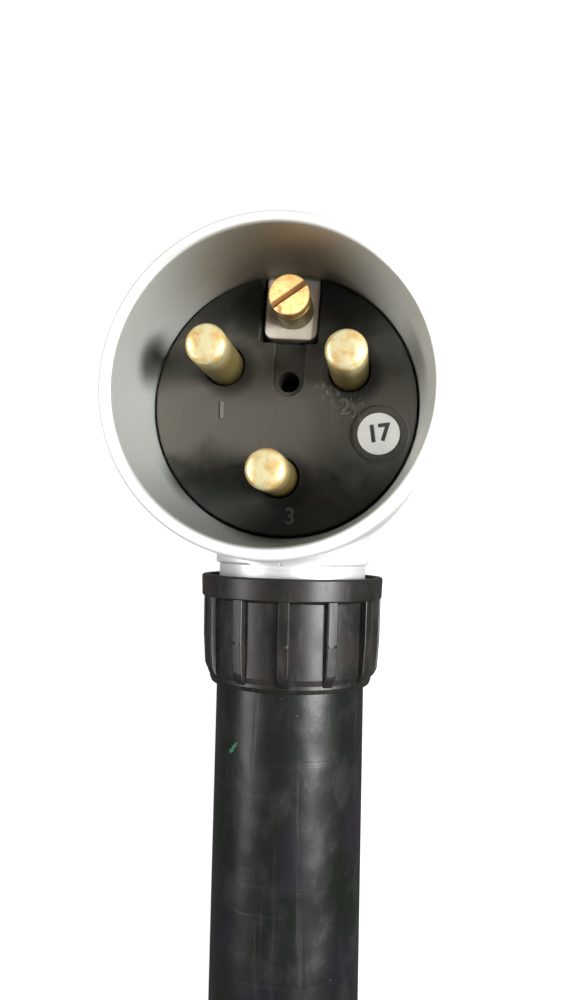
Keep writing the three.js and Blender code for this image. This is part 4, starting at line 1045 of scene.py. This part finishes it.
def make_housing():
    outside = rounded(
        [
            (0, 0),
            (SHROUD_R, 0, 7),
            (SHROUD_R, RIM_HEIGHT, 0.65),
            (CUP_BORE_R, RIM_HEIGHT, 0.5),
            (SEAT_R, FACE_HEIGHT),
            (SEAT_R, LEDGE_HEIGHT),
            (CHAMBER_R, LEDGE_HEIGHT),
            (CHAMBER_R, BOTTOM, 2),
            (0, BOTTOM),
        ],
        steps=8,
    )
    cup = lathe("plug_casting", outside, FINE)
    carve(cup, [neck_with_fillet(SHROUD_R, NECK_R, NECK_FILLET)], "UNION")
    neck_bore = bar(NECK_BORE_R, 10, THREAD_END + 1, ALONG_NECK, ROUND)
    chamber = bar(CHAMBER_R, BOTTOM, LEDGE_HEIGHT - 0.1, facets=FINE)
    carve(cup, [neck_bore, chamber])
    boss = bar(3.6, 2, LEDGE_HEIGHT, LABEL_PLACE)
    carve(cup, [make_tab(), boss], "UNION")
    along_y = moved(0, 0, WIRE_HEIGHT) @ Matrix.Rotation(math.radians(-90), 4, "X")
    tail_hole = bar(2.8, WIRE_HEIGHT, 45, EARTH_PLACE)
    wire_hole = bar(WIRE_HOLE_R, 11, 18, DISC_TURN @ along_y)
    screw_hole = bar(SCREW_HOLE_R, 20, 29, LABEL_PLACE)
    nick = lathe("nick", NICK, 16, place=NICK_PLACE)
    return drill(cup, [tail_hole, wire_hole, screw_hole, nick])


housing = make_housing()
dress(housing, cast, "lead", "cast_metal", "plug_housing")
print("housing faces:", len(housing.data.polygons))

# %% [markdown]
# ## The insulator and its moulded numbers
# A thick disc with three pin bores, a notch for the earth tab, a wire hole that opens into a shallow
# channel, and a round recess for the number label. Plain numbers stand a little proud beside the
# pins.

# %% Insulator
INSULATOR_R = 24.1
BACK_HEIGHT = 28.3
TERMINAL_RIM = 1.8
HOLE_PLACE = (0.5, 4.45)
HOLE_R = 1.95
CHANNEL_HALF = 2.8
CHANNEL_DEPTH = 1.2
LABEL_RECESS = (5.2, 0.6)


def seat_for_pin(place):
    """The rim behind one pin, and the two cutters for its barrel and for the pin itself."""
    low, high = BACK_HEIGHT - TERMINAL_RIM, BACK_HEIGHT + 1
    wide = BARREL_R + FIT
    profile = rounded([(0, low), (wide + 1.4, low, 0.3), (wide + 1.4, high), (0, high)])
    rim = lathe("rim", profile, SMALL, place=place)
    recess = bar(wide, low - 1, BARREL_TOP + FIT, place)
    bore = flared_cutter(circle(PIN_R + FIT), BARREL_TOP, FACE_HEIGHT, 0.25, place)
    return rim, [recess, bore]


def make_insulator():
    top = (INSULATOR_R, FACE_HEIGHT, 0.5)
    profile = rounded([(0, BACK_HEIGHT), (INSULATOR_R, BACK_HEIGHT), top, (0, FACE_HEIGHT)])
    disc = lathe("insulator_disc", profile, FINE, place=DISC_TURN)
    rims, cutters = [], []
    for place in PIN_PLACES:
        rim, cuts = seat_for_pin(place)
        rims.append(rim)
        cutters += cuts
    carve(disc, rims, "UNION")
    notch = tongue(0, TAB_HALF + 0.4, TAB_NEAR - 1.3, 30, 0.7)
    cutters.append(flared_cutter(notch, BACK_HEIGHT - 1, FACE_HEIGHT, 0.3, DISC_TURN))
    channel_floor = FACE_HEIGHT - CHANNEL_DEPTH
    hole = circle(HOLE_R, HOLE_PLACE)
    cutters.append(flared_cutter(hole, BACK_HEIGHT - 1, channel_floor, 0.15, DISC_TURN))
    channel = tongue(HOLE_PLACE[0], CHANNEL_HALF, HOLE_PLACE[1] - CHANNEL_HALF, 14, CHANNEL_HALF - 0.01)
    cutters.append(flared_cutter(channel, channel_floor, FACE_HEIGHT, 0.3, DISC_TURN))
    screw = [(0, 27), (SCREW_HOLE_R, 27), (SCREW_HOLE_R, 37.8), (3.2, 37.8), (3.2, 40.8), (0, 40.8)]
    cutters.append(lathe("fixing_hole", screw, SMALL, place=LABEL_PLACE))
    wide, deep = LABEL_RECESS
    cutters.append(flared_cutter(circle(wide), FACE_HEIGHT - deep, FACE_HEIGHT, 0.3, LABEL_PLACE))
    return drill(disc, cutters)


insulator = make_insulator()
dress(insulator, black, "lead", "insulator_plastic", "insulator")
print("insulator faces:", len(insulator.data.polygons))

# %% Raised numbers
NUMBER_PLACES = (("1", (-11.5, -1.2)), ("2", (11.2, -0.6)), ("3", (1.6, -20.6)))
NUMBER_SIZE = 4.2
NUMBER_THICKNESS = 0.34


def raised_number(text, place, size, thickness, turn=0.0, bold=0.0):
    """A plain number as a thin solid, standing on a height, in millimetres."""
    curve = bpy.data.curves.new(f"number_{text}", "FONT")
    curve.body = text
    curve.size = size
    curve.offset = bold
    curve.extrude = thickness / 2
    curve.bevel_depth = 0.04
    curve.align_x, curve.align_y = "CENTER", "CENTER"
    source = new_object("number_source", curve)
    mesh = baked(source)
    bpy.data.objects.remove(source)
    mesh.transform(in_mm(Matrix.Translation(place) @ turned_z(turn)))
    return new_object(f"number_{text}", mesh)


def joined(name, pieces):
    """Several meshes as one piece."""
    shape = bmesh.new()
    for piece in pieces:
        shape.from_mesh(piece.data)
        bpy.data.objects.remove(piece)
    bmesh.ops.recalc_face_normals(shape, faces=shape.faces)
    mesh = bpy.data.meshes.new(name)
    shape.to_mesh(mesh)
    shape.free()
    shade(mesh)
    return new_object(name, mesh)


raised = []
for text, spot in NUMBER_PLACES:
    place = (*spot, FACE_HEIGHT + 0.06)
    raised.append(raised_number(text, place, NUMBER_SIZE, NUMBER_THICKNESS, bold=0.06))
numbers = joined("moulded_numbers", raised)
dress(numbers, black, "lead", "insulator_plastic")
print("number faces:", len(numbers.data.polygons))

# %% [markdown]
# ## Pins, earth pillar and earth screw
# The pins are plain turned bars with a soft crown. Behind the insulator each widens to the barrel
# that clamps a wire. The earth contact is a short pillar on the tab with a cheese-head screw in it,
# its slot worn by a driver.

# %% Pins
PIN_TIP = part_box("pin_1")[1][2] / MM
PIN_SHADING = 40


def make_pin(name, place, angle):
    profile = rounded(
        [
            (0, BARREL_END),
            (BARREL_R, BARREL_END, 0.3),
            (BARREL_R, BARREL_TOP, 0.3),
            (PIN_R, BARREL_TOP),
            (PIN_R, PIN_TIP - 0.55, 1.25),
            (1.7, PIN_TIP - 0.1, 3.0),
            (0, PIN_TIP),
        ],
        steps=7,
    )
    pin = lathe(name, profile, ROUND, place=place, smooth_angle=PIN_SHADING)
    wire_hole = bar(WIRE_HOLE_R, BARREL_END - 1, BARREL_END + 8, place)
    carve(pin, [wire_hole], smooth_angle=PIN_SHADING)
    clamp = place @ moved(0, 0, BARREL_END + 2.4) @ across_to(angle)
    return carve(pin, [bar(CLAMP_HOLE_R, 0, BARREL_R + 1, clamp)], smooth_angle=PIN_SHADING)


for number, (place, angle) in enumerate(zip(PIN_PLACES, PIN_ANGLES), 1):
    pin = make_pin(f"round_pin_{number}", place, angle)
    dress(pin, bright_pin, "lead", "contact_brass", f"pin_{number}")
print("pins reach", round(PIN_TIP, 1), "mm")

# %% Earth pillar
PILLAR_R = 3.6
PILLAR_TAIL_R = 2.5
PILLAR_BORE_R = 2.3
PILLAR_HEIGHT = 6.3
PILLAR_TOP = TAB_HEIGHT + PILLAR_HEIGHT


def make_earth_pillar():
    foot = TAB_HEIGHT + FIT
    profile = rounded(
        [
            (0, WIRE_HEIGHT + 1.8),
            (PILLAR_TAIL_R, WIRE_HEIGHT + 1.8, 0.2),
            (PILLAR_TAIL_R, foot),
            (PILLAR_R, foot, 0.15),
            (PILLAR_R, PILLAR_TOP, 0.45),
            (PILLAR_BORE_R, PILLAR_TOP, 0.3),
            (PILLAR_BORE_R, PILLAR_TOP - PILLAR_HEIGHT),
            (0, PILLAR_TOP - PILLAR_HEIGHT),
        ]
    )
    return lathe("earth_post", profile, ROUND, place=EARTH_PLACE)


pillar = make_earth_pillar()
dress(pillar, pillar_brass, "lead", "contact_brass", "earth_pillar")
print("top of the pillar:", round(PILLAR_TOP, 1), "mm")

# %% Earth screw
SCREW_UNDER = PILLAR_TOP + 0.8
TEAR = [(0, -0.8), (0.6, -0.6), (0.95, 0), (0.6, 0.6), (0, 0.8)]
TEAR_PLACE = EARTH_PLACE @ turned_z(237) @ moved(3.3, 0, SCREW_UNDER + 3.0)


def make_slotted_screw(name, place, under, head, shank, slot):
    """A cheese-head screw whose head starts at one height, in millimetres.

    head and shank are (radius, length), and slot is (width, depth, angle).
    """
    head_r, top = head[0], under + head[1]
    shank_r, shank_end = shank[0], under - shank[1]
    slot_width, slot_depth, slot_angle = slot
    profile = rounded(
        [
            (0, shank_end),
            (shank_r, shank_end, 0.2),
            (shank_r, under),
            (head_r, under, 0.15),
            (head_r, top - 0.12, 0.45),
            (head_r * 0.45, top),
            (0, top),
        ]
    )
    screw = lathe(name, profile, ROUND, place=place)

    def slot_outline(grow):
        half, reach = slot_width / 2 + grow, head_r + 1
        return [(-reach, -half), (reach, -half), (reach, half), (-reach, half)]

    cutter = flared_cutter(slot_outline, top - slot_depth, top, 0.14, place @ turned_z(slot_angle))
    return carve(screw, [cutter])


earth_screw = make_slotted_screw(
    "earth_clamp_screw",
    EARTH_PLACE,
    under=SCREW_UNDER,
    head=(3.6, 2.9),
    shank=(2.0, 6.8),
    slot=(1.15, 1.2, 37),
)
carve(earth_screw, [lathe("tear", TEAR, 12, place=TEAR_PLACE)])
dress(earth_screw, orange_brass, "lead", "contact_brass", "earth_screw")
print("screw faces:", len(earth_screw.data.polygons))

# %% [markdown]
# ## The number label
# A round white sticker with a plain two-figure number, a little turned, in a shallow recess. Its edge
# is rounded by a hair, so that it reads as a thin thing laid on.

# %% Label
LABEL_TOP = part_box("number_label")[1][2] / MM
LABEL_R = 3.8
LABEL_THICKNESS = 0.3


def make_label():
    low = LABEL_TOP - LABEL_THICKNESS
    profile = rounded([(0, low), (LABEL_R, low), (LABEL_R, LABEL_TOP, 0.08), (0, LABEL_TOP)])
    return lathe("round_label", profile, ROUND, place=LABEL_PLACE)


label = make_label()
dress(label, label_white, "lead", "label_white", "number_label")
figures_place = DISC_TURN @ Vector((*LABEL_SPOT, LABEL_TOP + 0.03))
figures = raised_number("17", figures_place, 4.3, 0.04, turn=8, bold=0.10)
figures.name = "label_figures"
dress(figures, label_ink, "lead", "label_white")
print("label at", round(LABEL_TOP, 2), "mm")

# %% [markdown]
# ## The gland nut
# The nut squeezes a rubber grommet round the cord. It has a plain collar, twelve grip ribs that fade
# into its round tail, and a hollow mouth. The same nut is on the connector, so one Geometry Nodes
# tree makes both: it sets copies of one rib round a circle, with the number of ribs and the first
# rib's angle as named inputs.

# %% Body of the gland nut
NUT_START = 2.4
NUT_END = 23.8
NUT_COLLAR = 4.3
NUT_MOUTH_R = 18.6
NUT_MOUTH_BORE_R = 17.2
NUT_WALL_R = 16.9
NUT_TAIL_R = 16.0
NUT_THREAD_R = 15.4
NUT_SOCKET_R = 15.35
NUT_WEB_R = 12.3
NUT_WEB_FROM = 16.2
NUT_WEB_TO = 17.8


def nut_body(name, place):
    collar_end = NUT_START + NUT_COLLAR
    profile = rounded(
        [
            (NUT_MOUTH_BORE_R, NUT_START, 0.3),
            (NUT_MOUTH_R, NUT_START, 0.5),
            (NUT_MOUTH_R - 0.2, collar_end, 0.4),
            (NUT_WALL_R, collar_end + 0.3, 0.25),
            (NUT_WALL_R - 0.3, NUT_END - 2.6, 1.2),
            (NUT_TAIL_R + 0.35, NUT_END - 1.5, 0.4),
            (NUT_TAIL_R + 0.45, NUT_END - 0.9, 0.2),
            (NUT_TAIL_R + 0.1, NUT_END, 0.3),
            (NUT_SOCKET_R, NUT_END, 0.15),
            (NUT_SOCKET_R, NUT_WEB_TO),
            (NUT_WEB_R, NUT_WEB_TO),
            (NUT_WEB_R, NUT_WEB_FROM),
            (NUT_THREAD_R, NUT_WEB_FROM),
            (NUT_THREAD_R, NUT_START + 1.6),
            (NUT_MOUTH_BORE_R, NUT_START + 1.6),
        ]
    )
    return lathe(name, profile, FINE, closed=True, place=place)


# %% One grip rib
RIB_COUNT = 12
RIB_TURN = 2.0
RIB_HALF = 1.15
RIB_TOP_HALF = RIB_HALF * 0.94
RIB_EDGE = 0.4


def rib_shape():
    """One grip rib, standing along the nut's axis at angle 0, with rounded long edges."""
    rings = []
    top_line = rounded(
        [
            (NUT_MOUTH_R - 0.35, NUT_START + 3.3),
            (NUT_MOUTH_R - 0.5, NUT_END - 9, 12),
            (NUT_MOUTH_R - 0.95, NUT_END - 2.5, 3.2),
            (NUT_TAIL_R - 0.1, NUT_END - 0.6),
        ],
        steps=8,
    )
    rings = []
    for radius, height in top_line:
        cross = [(NUT_TAIL_R - 0.4, -RIB_HALF), (radius - RIB_EDGE, -RIB_TOP_HALF)]
        for k in range(1, 4):
            turn = math.pi / 2 * k / 4
            rise, run = RIB_EDGE * math.sin(turn), RIB_EDGE * (1 - math.cos(turn))
            cross.append((radius - RIB_EDGE + rise, -RIB_TOP_HALF + run))
        cross += [(x, -y) for x, y in reversed(cross)]
        rings.append([(x, y, height) for x, y in cross])
    return loft("rib", rings)


# %% Node tree that sets ribs round a circle


def ribs_round_a_circle():
    """The node tree: copies of a rib turned about Z, made real and given a finish."""
    tree = bpy.data.node_groups.new("ribs_round_a_circle", "GeometryNodeTree")
    face = tree.interface
    face.new_socket("Geometry", in_out="INPUT", socket_type="NodeSocketGeometry")
    count = face.new_socket("Rib Count", in_out="INPUT", socket_type="NodeSocketInt")
    first = face.new_socket("First Angle", in_out="INPUT", socket_type="NodeSocketFloat")
    finish = face.new_socket("Finish", in_out="INPUT", socket_type="NodeSocketMaterial")
    face.new_socket("Geometry", in_out="OUTPUT", socket_type="NodeSocketGeometry")
    add, link = tree.nodes.new, tree.links.new
    given, result = add("NodeGroupInput"), add("NodeGroupOutput")
    points = add("GeometryNodePoints")
    link(given.outputs["Rib Count"], points.inputs["Count"])
    index, step, angle = (add(k) for k in ("GeometryNodeInputIndex", *["ShaderNodeMath"] * 2))
    step.operation, angle.operation = "DIVIDE", "MULTIPLY_ADD"
    link(index.outputs[0], step.inputs[0])
    link(given.outputs["Rib Count"], step.inputs[1])
    link(step.outputs[0], angle.inputs[0])
    angle.inputs[1].default_value = math.tau
    link(given.outputs["First Angle"], angle.inputs[2])
    turn = add("ShaderNodeCombineXYZ")
    link(angle.outputs[0], turn.inputs["Z"])
    copies = add("GeometryNodeInstanceOnPoints")
    link(points.outputs[0], copies.inputs["Points"])
    link(given.outputs["Geometry"], copies.inputs["Instance"])
    link(turn.outputs[0], copies.inputs["Rotation"])
    real, paint = add("GeometryNodeRealizeInstances"), add("GeometryNodeSetMaterial")
    link(copies.outputs[0], real.inputs[0])
    link(real.outputs[0], paint.inputs["Geometry"])
    link(given.outputs["Finish"], paint.inputs["Material"])
    link(paint.outputs[0], result.inputs[0])
    return tree, {"count": count.identifier, "first": first.identifier, "finish": finish.identifier}


rib_tree, rib_sockets = ribs_round_a_circle()
print("nodes in the rib tree:", len(rib_tree.nodes))

# %% Whole gland nut


def make_nut(name, place):
    """place takes the nut from its own axis, Z with the cord leaving upwards, to where it is."""
    rib = rib_shape()
    spread = rib.modifiers.new("ribs", "NODES")
    spread.node_group = rib_tree
    spread[rib_sockets["count"]] = RIB_COUNT
    spread[rib_sockets["first"]] = math.radians(90 - RIB_TURN)
    spread[rib_sockets["finish"]] = nylon
    mesh = baked(rib)
    bpy.data.objects.remove(rib)
    mesh.transform(in_mm(place) @ in_mm().inverted())
    return carve(nut_body(name, place), [new_object("ribs", mesh)], "UNION", smooth_angle=35)


PLUG_GLAND = moved(0, -NECK_STEP, NECK_HEIGHT) @ Matrix.Rotation(math.radians(90), 4, "X")
plug_nut = make_nut("plug_gland_nut", PLUG_GLAND)
dress(plug_nut, nylon, "plug_nut", "nut_plastic", "gland_nut")
print("nut faces:", len(plug_nut.data.polygons))

# %% [markdown]
# ## The in-line connector
# It lies outside the photo, at the far end of the cord, so it follows the plug: the same casting
# finish, the same gland, and a socket block that is the mirror of the plug's face. It is modelled
# about Z with its face at 0 and the cord leaving downwards, then laid on its flange.

# %% Sizes of the connector
CONNECTOR_FACE = Vector((424, -8, 29))
LAID_DOWN = Matrix(((-1, 0, 0, 0), (0, 0, 1, 0), (0, 1, 0, 0), (0, 0, 0, 1)))
CONNECTOR = Matrix.Translation(CONNECTOR_FACE) @ LAID_DOWN
NOSE_R = 24.0
NOSE_END = -16.0
FLANGE_R = 29.0
FLANGE_BACK = NOSE_END - 4
SHELL_END = -66.0
TAPER_END = -84.0
CONNECTOR_STEP = -88.0
CONNECTOR_THREAD_END = CONNECTOR_STEP - 11.4
BLOCK_R = 21.7
BLOCK_BACK = -28.0
KEYWAY_HALF = 5.7
KEYWAY_NEAR = 13.8
SHELL_SCREW_AT = -24.2
SOCKET_SPOTS = [polar(PIN_CIRCLE, 180 - angle) for angle in PIN_ANGLES]
SCREW_PLACES = [CONNECTOR @ moved(0, 0, SHELL_SCREW_AT) @ across_to(side) for side in (0, 180)]
print(f"connector: {-CONNECTOR_THREAD_END:.1f} mm long, face at {tuple(CONNECTOR_FACE)}")

# %% Connector shell


def keyway_cutter():
    """The slot that the plug's earth tab goes into, right through the nose."""

    def outline(grow):
        half, near = KEYWAY_HALF + grow, KEYWAY_NEAR - grow
        return [(-half, near), (half, near), (half, NOSE_R + 2), (-half, NOSE_R + 2)]

    return flared_cutter(outline, -7, 0, 0.4, CONNECTOR)


def make_connector_shell():
    profile = rounded(
        [
            (NECK_BORE_R, CONNECTOR_THREAD_END),
            (THREAD_R, CONNECTOR_THREAD_END, 0.5),
            (THREAD_R, CONNECTOR_STEP, 0.3),
            (NECK_R, CONNECTOR_STEP, 0.35),
            (NECK_R, TAPER_END, 3),
            (NOSE_R - 1, SHELL_END, 6),
            (NOSE_R, SHELL_END + 4, 4),
            (NOSE_R, FLANGE_BACK, 1.5),
            (FLANGE_R, FLANGE_BACK, 1.1),
            (FLANGE_R, NOSE_END, 1.1),
            (NOSE_R, NOSE_END, 0.8),
            (NOSE_R, 0, 0.7),
            (BLOCK_R + FIT, 0, 0.3),
            (BLOCK_R + FIT, BLOCK_BACK - FIT),
            (NOSE_R - 3, BLOCK_BACK - FIT),
            (NOSE_R - 3, SHELL_END),
            (NECK_BORE_R, TAPER_END),
        ]
    )
    casting = lathe("connector_casting", profile, FINE, closed=True, place=CONNECTOR)
    cutters = [keyway_cutter()]
    for place in SCREW_PLACES:
        cutters.append(flared_cutter(circle(SCREW_HOLE_R), NOSE_R - 5, NOSE_R, 0.3, place))
    return carve(casting, cutters)


shell = make_connector_shell()
dress(shell, cast, "lead", "cast_metal", "connector_shell")
print("connector shell faces:", len(shell.data.polygons))

# %% Socket block
SLEEVE_R = 4.9
STUD_PLACE = CONNECTOR @ moved(0, EARTH_R)


def make_socket_block():
    profile = rounded([(0, BLOCK_BACK), (BLOCK_R, BLOCK_BACK, 0.4), (BLOCK_R, 0, 0.6), (0, 0)])
    block = lathe("socket_block", profile, FINE, place=CONNECTOR)
    cutters = [keyway_cutter()]
    for spot in SOCKET_SPOTS:
        cutters.append(flared_cutter(circle(PIN_R + FIT, spot), -4, 0, 0.8, CONNECTOR))
        cutters.append(bar(SLEEVE_R + FIT, BLOCK_BACK - 1, -2, CONNECTOR @ moved(*spot)))
    cutters.append(bar(2.5, BLOCK_BACK - 1, -6, STUD_PLACE))
    for place in SCREW_PLACES:
        cutters.append(bar(SCREW_HOLE_R, 17, BLOCK_R + 1, place))
    return drill(block, cutters)


block = make_socket_block()
dress(block, black, "lead", "insulator_plastic", "connector_insulator")
print("socket block faces:", len(block.data.polygons))

# %% Socket contacts
CONTACT_END = -36
CONTACT_FRONT = -2.3
SOCKET_R = 3.6
SOCKET_BOTTOM = -17.5
SLIT = [(-6, -0.35), (6, -0.35), (6, 0.35), (-6, 0.35)]


def make_socket_contact(name, spot):
    profile = rounded(
        [
            (0, CONTACT_END),
            (SLEEVE_R, CONTACT_END, 0.3),
            (SLEEVE_R, CONTACT_FRONT, 0.3),
            (SOCKET_R, CONTACT_FRONT, 0.6),
            (SOCKET_R, SOCKET_BOTTOM),
            (0, SOCKET_BOTTOM),
        ]
    )
    place = CONNECTOR @ moved(*spot)
    sleeve = lathe(name, profile, ROUND, place=place)
    wire_hole = bar(WIRE_HOLE_R, CONTACT_END - 1, CONTACT_END + 8, place)
    outwards = math.degrees(math.atan2(spot[1], spot[0]))
    clamp_hole = bar(CLAMP_HOLE_R, 0, 6, place @ moved(0, 0, CONTACT_END + 2.4) @ across_to(outwards))
    slit = loft("slit", [[(x, y, height) for x, y in SLIT] for height in (-16, 0)], place)
    return drill(sleeve, [wire_hole, clamp_hole, slit])


contacts = []
for number, spot in enumerate(SOCKET_SPOTS, 1):
    contact = make_socket_contact(f"socket_sleeve_{number}", spot)
    dress(contact, socket_brass, "lead", "contact_brass", f"socket_contact_{number}")
    contacts.append(contact)
print("socket contacts:", len(contacts))

# %% Earth stud
STUD_END = -34
STUD_R = 2.2
STUD_HEAD_R = 3.3
STUD_UNDER = -6.7
STUD_TOP = -4.9
STUD_WIRE_R = 1.5


def make_earth_stud():
    profile = rounded(
        [
            (0, STUD_END),
            (STUD_R, STUD_END, 0.2),
            (STUD_R, STUD_UNDER),
            (STUD_HEAD_R, STUD_UNDER, 0.15),
            (STUD_HEAD_R, STUD_TOP, 0.5),
            (0, STUD_TOP),
        ]
    )
    made = lathe("earth_stud", profile, ROUND, place=STUD_PLACE)
    return carve(made, [bar(STUD_WIRE_R, STUD_END - 1, STUD_END + 6, STUD_PLACE)])


stud = make_earth_stud()
dress(stud, socket_brass, "lead", "contact_brass", "connector_earth_stud")
print("stud faces:", len(stud.data.polygons))

# %% Shell screws and the connector's nut
shell_screws = []
for number, place in enumerate(SCREW_PLACES, 1):
    screw = make_slotted_screw(
        f"shell_screw_{number}",
        place,
        under=NOSE_R + FIT,
        head=(3.0, 1.7),
        shank=(1.7, 6.3),
        slot=(0.8, 0.8, 0),
    )
    dress(screw, steel, "lead", "screw_steel", f"connector_screw_{number}")
    shell_screws.append(screw)

CONNECTOR_GLAND = CONNECTOR @ moved(0, 0, CONNECTOR_STEP) @ Matrix.Rotation(math.pi, 4, "X")
connector_nut = make_nut("connector_nut", CONNECTOR_GLAND)
dress(connector_nut, nylon, "connector_nut", "nut_plastic", "connector_gland_nut")
print("shell screws:", len(shell_screws))

# %% [markdown]
# ## Straps round the coil
# Three woven straps hold the turns. Each closes with a tail that laps over itself on the outer side,
# so the band is drawn twice along one outline: once all round, and once again, a little further out,
# for the lap.

# %% Line of a strap
STRAP_ANGLES = (90, 210, 330)
STRAP_THICKNESS = 1.8
STRAP_CORNER = 9.0
STRAP_SIDE_GAP = 1.3
STRAP_STEPS = 160


def bundle_reaches(angle):
    """How far from the coil's centre each turn of the cord crosses a direction, in millimetres."""
    reaches = []
    turns = ((angle - 180) % 360) / 360
    while turns <= COIL_TURNS:
        point = Vector(coil_point(turns)[:2]) - COIL_CENTRE
        reaches.append(point.length / MM)
        turns += 1
    return reaches


def strap_line(angle):
    """Points (reach, height) and outward directions round the bundle, in millimetres."""
    reaches = bundle_reaches(angle)
    edge = CORD_R / MM + STRAP_SIDE_GAP
    low = STRAP_THICKNESS
    high = (COIL_LOW + LAYER_RISE + CORD_R) / MM + 0.3
    inner, outer = min(reaches) - edge, max(reaches) + edge
    corners = [(inner, low), (inner, high), (outer, high), (outer, low)]
    outline = np.array(rounded([(*corner, STRAP_CORNER) for corner in corners], steps=12))
    outline = np.vstack([outline, outline[:1]])
    girth = run_lengths(outline)[-1]
    points = at_places(np.linspace(0, girth, STRAP_STEPS, endpoint=False), outline)
    forward = np.roll(points, -1, axis=0) - np.roll(points, 1, axis=0)
    forward /= np.linalg.norm(forward, axis=1)[:, None]
    outward = np.column_stack([-forward[:, 1], forward[:, 0]])
    return points, outward, girth / STRAP_STEPS


print("turns under the first strap:", len(bundle_reaches(STRAP_ANGLES[0])))

# %% Woven band
STRAP_WIDTH = 25.0
SELVEDGE = 0.35


def band(name, line, low, high, closed, place, start=0.0):
    """A woven band along a line: its section is a flat strip with soft selvedges."""
    points, outward, step = line
    half = STRAP_WIDTH / 2
    corners = [(-half, low), (half, low), (half, high), (-half, high)]
    section = rounded([(*corner, SELVEDGE) for corner in corners], steps=3)
    vertices, across, along = [], [], []
    for i, ((reach, height), (out, up)) in enumerate(zip(points, outward)):
        for side, rise in section:
            vertices.append((reach + out * rise, side, height + up * rise))
            across.append(side)
            along.append(start + i * step)
    count = len(section)
    faces = skin(len(points), count, closed)
    if not closed:
        faces.append(tuple(range(count)))
        faces.append(tuple(range(len(vertices) - count, len(vertices))))
    mesh = bpy.data.meshes.new(name)
    mesh.from_pydata(vertices, [], faces)
    uv = mesh.uv_layers.new(name="strap")
    for face in mesh.polygons:
        wraps = closed and {0, len(points) - 1} <= {v // count for v in face.vertices}
        for loop in face.loop_indices:
            index = mesh.loops[loop].vertex_index
            extra = step * len(points) if wraps and index // count == 0 else 0
            uv.data[loop].uv = (across[index] * MM, (along[index] + extra) * MM)
    mesh.transform(in_mm(place))
    return new_object(name, mesh)


# %% Three straps
LAP_FROM = 0.30
LAP_TO = 0.62


def make_strap(name, angle):
    place = moved(*(COIL_CENTRE / MM)) @ turned_z(angle)
    line = strap_line(angle)
    points, outward, step = line
    loop = band("strap_loop", line, 0.0, 1.0, True, place)
    first, last = (int(len(points) * share) for share in (LAP_FROM, LAP_TO))
    lap_line = (points[first:last], outward[first:last], step)
    lap = band("strap_lap", lap_line, 0.9, 1.75, False, place, start=first * step)
    return joined(name, [loop, lap])


straps = []
for number, angle in enumerate(STRAP_ANGLES, 1):
    strap = make_strap(f"coil_strap_{number}", angle)
    dress(strap, strap_cloth, "lead", "tie_webbing", f"coil_tie_{number}")
    straps.append(strap)
print("straps:", len(straps))

# %% [markdown]
# ## Hidden pieces
# Cores, conductors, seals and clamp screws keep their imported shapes, because the cup and the nut hide
# them. They still get true finishes, so that the plug is right when it is taken apart.

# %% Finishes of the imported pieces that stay
CORE_COLOURS = {
    "core_line_1": (0.12, 0.042, 0.02),
    "core_line_2": (0.017, 0.017, 0.019),
    "core_line_3": (0.26, 0.27, 0.28),
    "core_earth": (0.12, 0.27, 0.03),
}


def finish_for(name):
    bare = name.replace("connector_", "")
    if bare in CORE_COLOURS:
        colour = CORE_COLOURS[bare]
        return plain_mould(name, colour, tuple(0.7 * c for c in colour))
    if bare.startswith("conductor"):
        return copper
    if bare in ("grommet", "inner_sheath"):
        return seal_grey
    if bare.startswith("terminal_screw"):
        return orange_brass
    return steel


def named(*keys):
    """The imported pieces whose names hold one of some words."""
    return [name for name in nodes if any(key in name for key in keys)]


REDRAWN = named("connector_conductor_")
HIDDEN = named("core_", "conductor_", "sheath", "grommet") + named("terminal_screw", "slip_washer")
HIDDEN = [name for name in [*HIDDEN, "insulator_screw"] if name not in REDRAWN]
for name in HIDDEN:
    nodes[name].data.materials.clear()
    nodes[name].data.materials.append(finish_for(name))
print("kept pieces:", len(HIDDEN))

# %% [markdown]
# ## The connector's bare wires
# Each contact holds the bare end of one wire, and the stud holds the thinner end of the earth wire.
# They are all of one kind, so they are drawn again as one piece with slightly rounded ends.

# %% Conductors of the connector
LINE_WIRE_R = 1.5
EARTH_WIRE_R = 1.2


def bare_wire(spot, radius, start, length):
    profile = rounded([(0, start), (radius, start), (radius, start + length, 0.3), (0, start + length)])
    return lathe("wire", profile, SMALL, place=CONNECTOR @ moved(*spot))


wires = [bare_wire(spot, LINE_WIRE_R, CONTACT_END, 7) for spot in SOCKET_SPOTS]
wires.append(bare_wire((0, EARTH_R), EARTH_WIRE_R, STUD_END, 5))
connector_wires = joined("connector_wires", wires)
dress(connector_wires, copper, "lead", "copper_strand", *REDRAWN)
print("bare wires:", len(REDRAWN))

# %% [markdown]
# ## What the cord carries
# The pieces that ride on the cord's far end are gathered in one list.

# %% Pieces at the cord's far end
on_cord = [shell, block, *contacts, stud, *shell_screws, connector_nut, connector_wires, *straps]
on_cord += [nodes[name] for name in HIDDEN if name.startswith("connector_")]
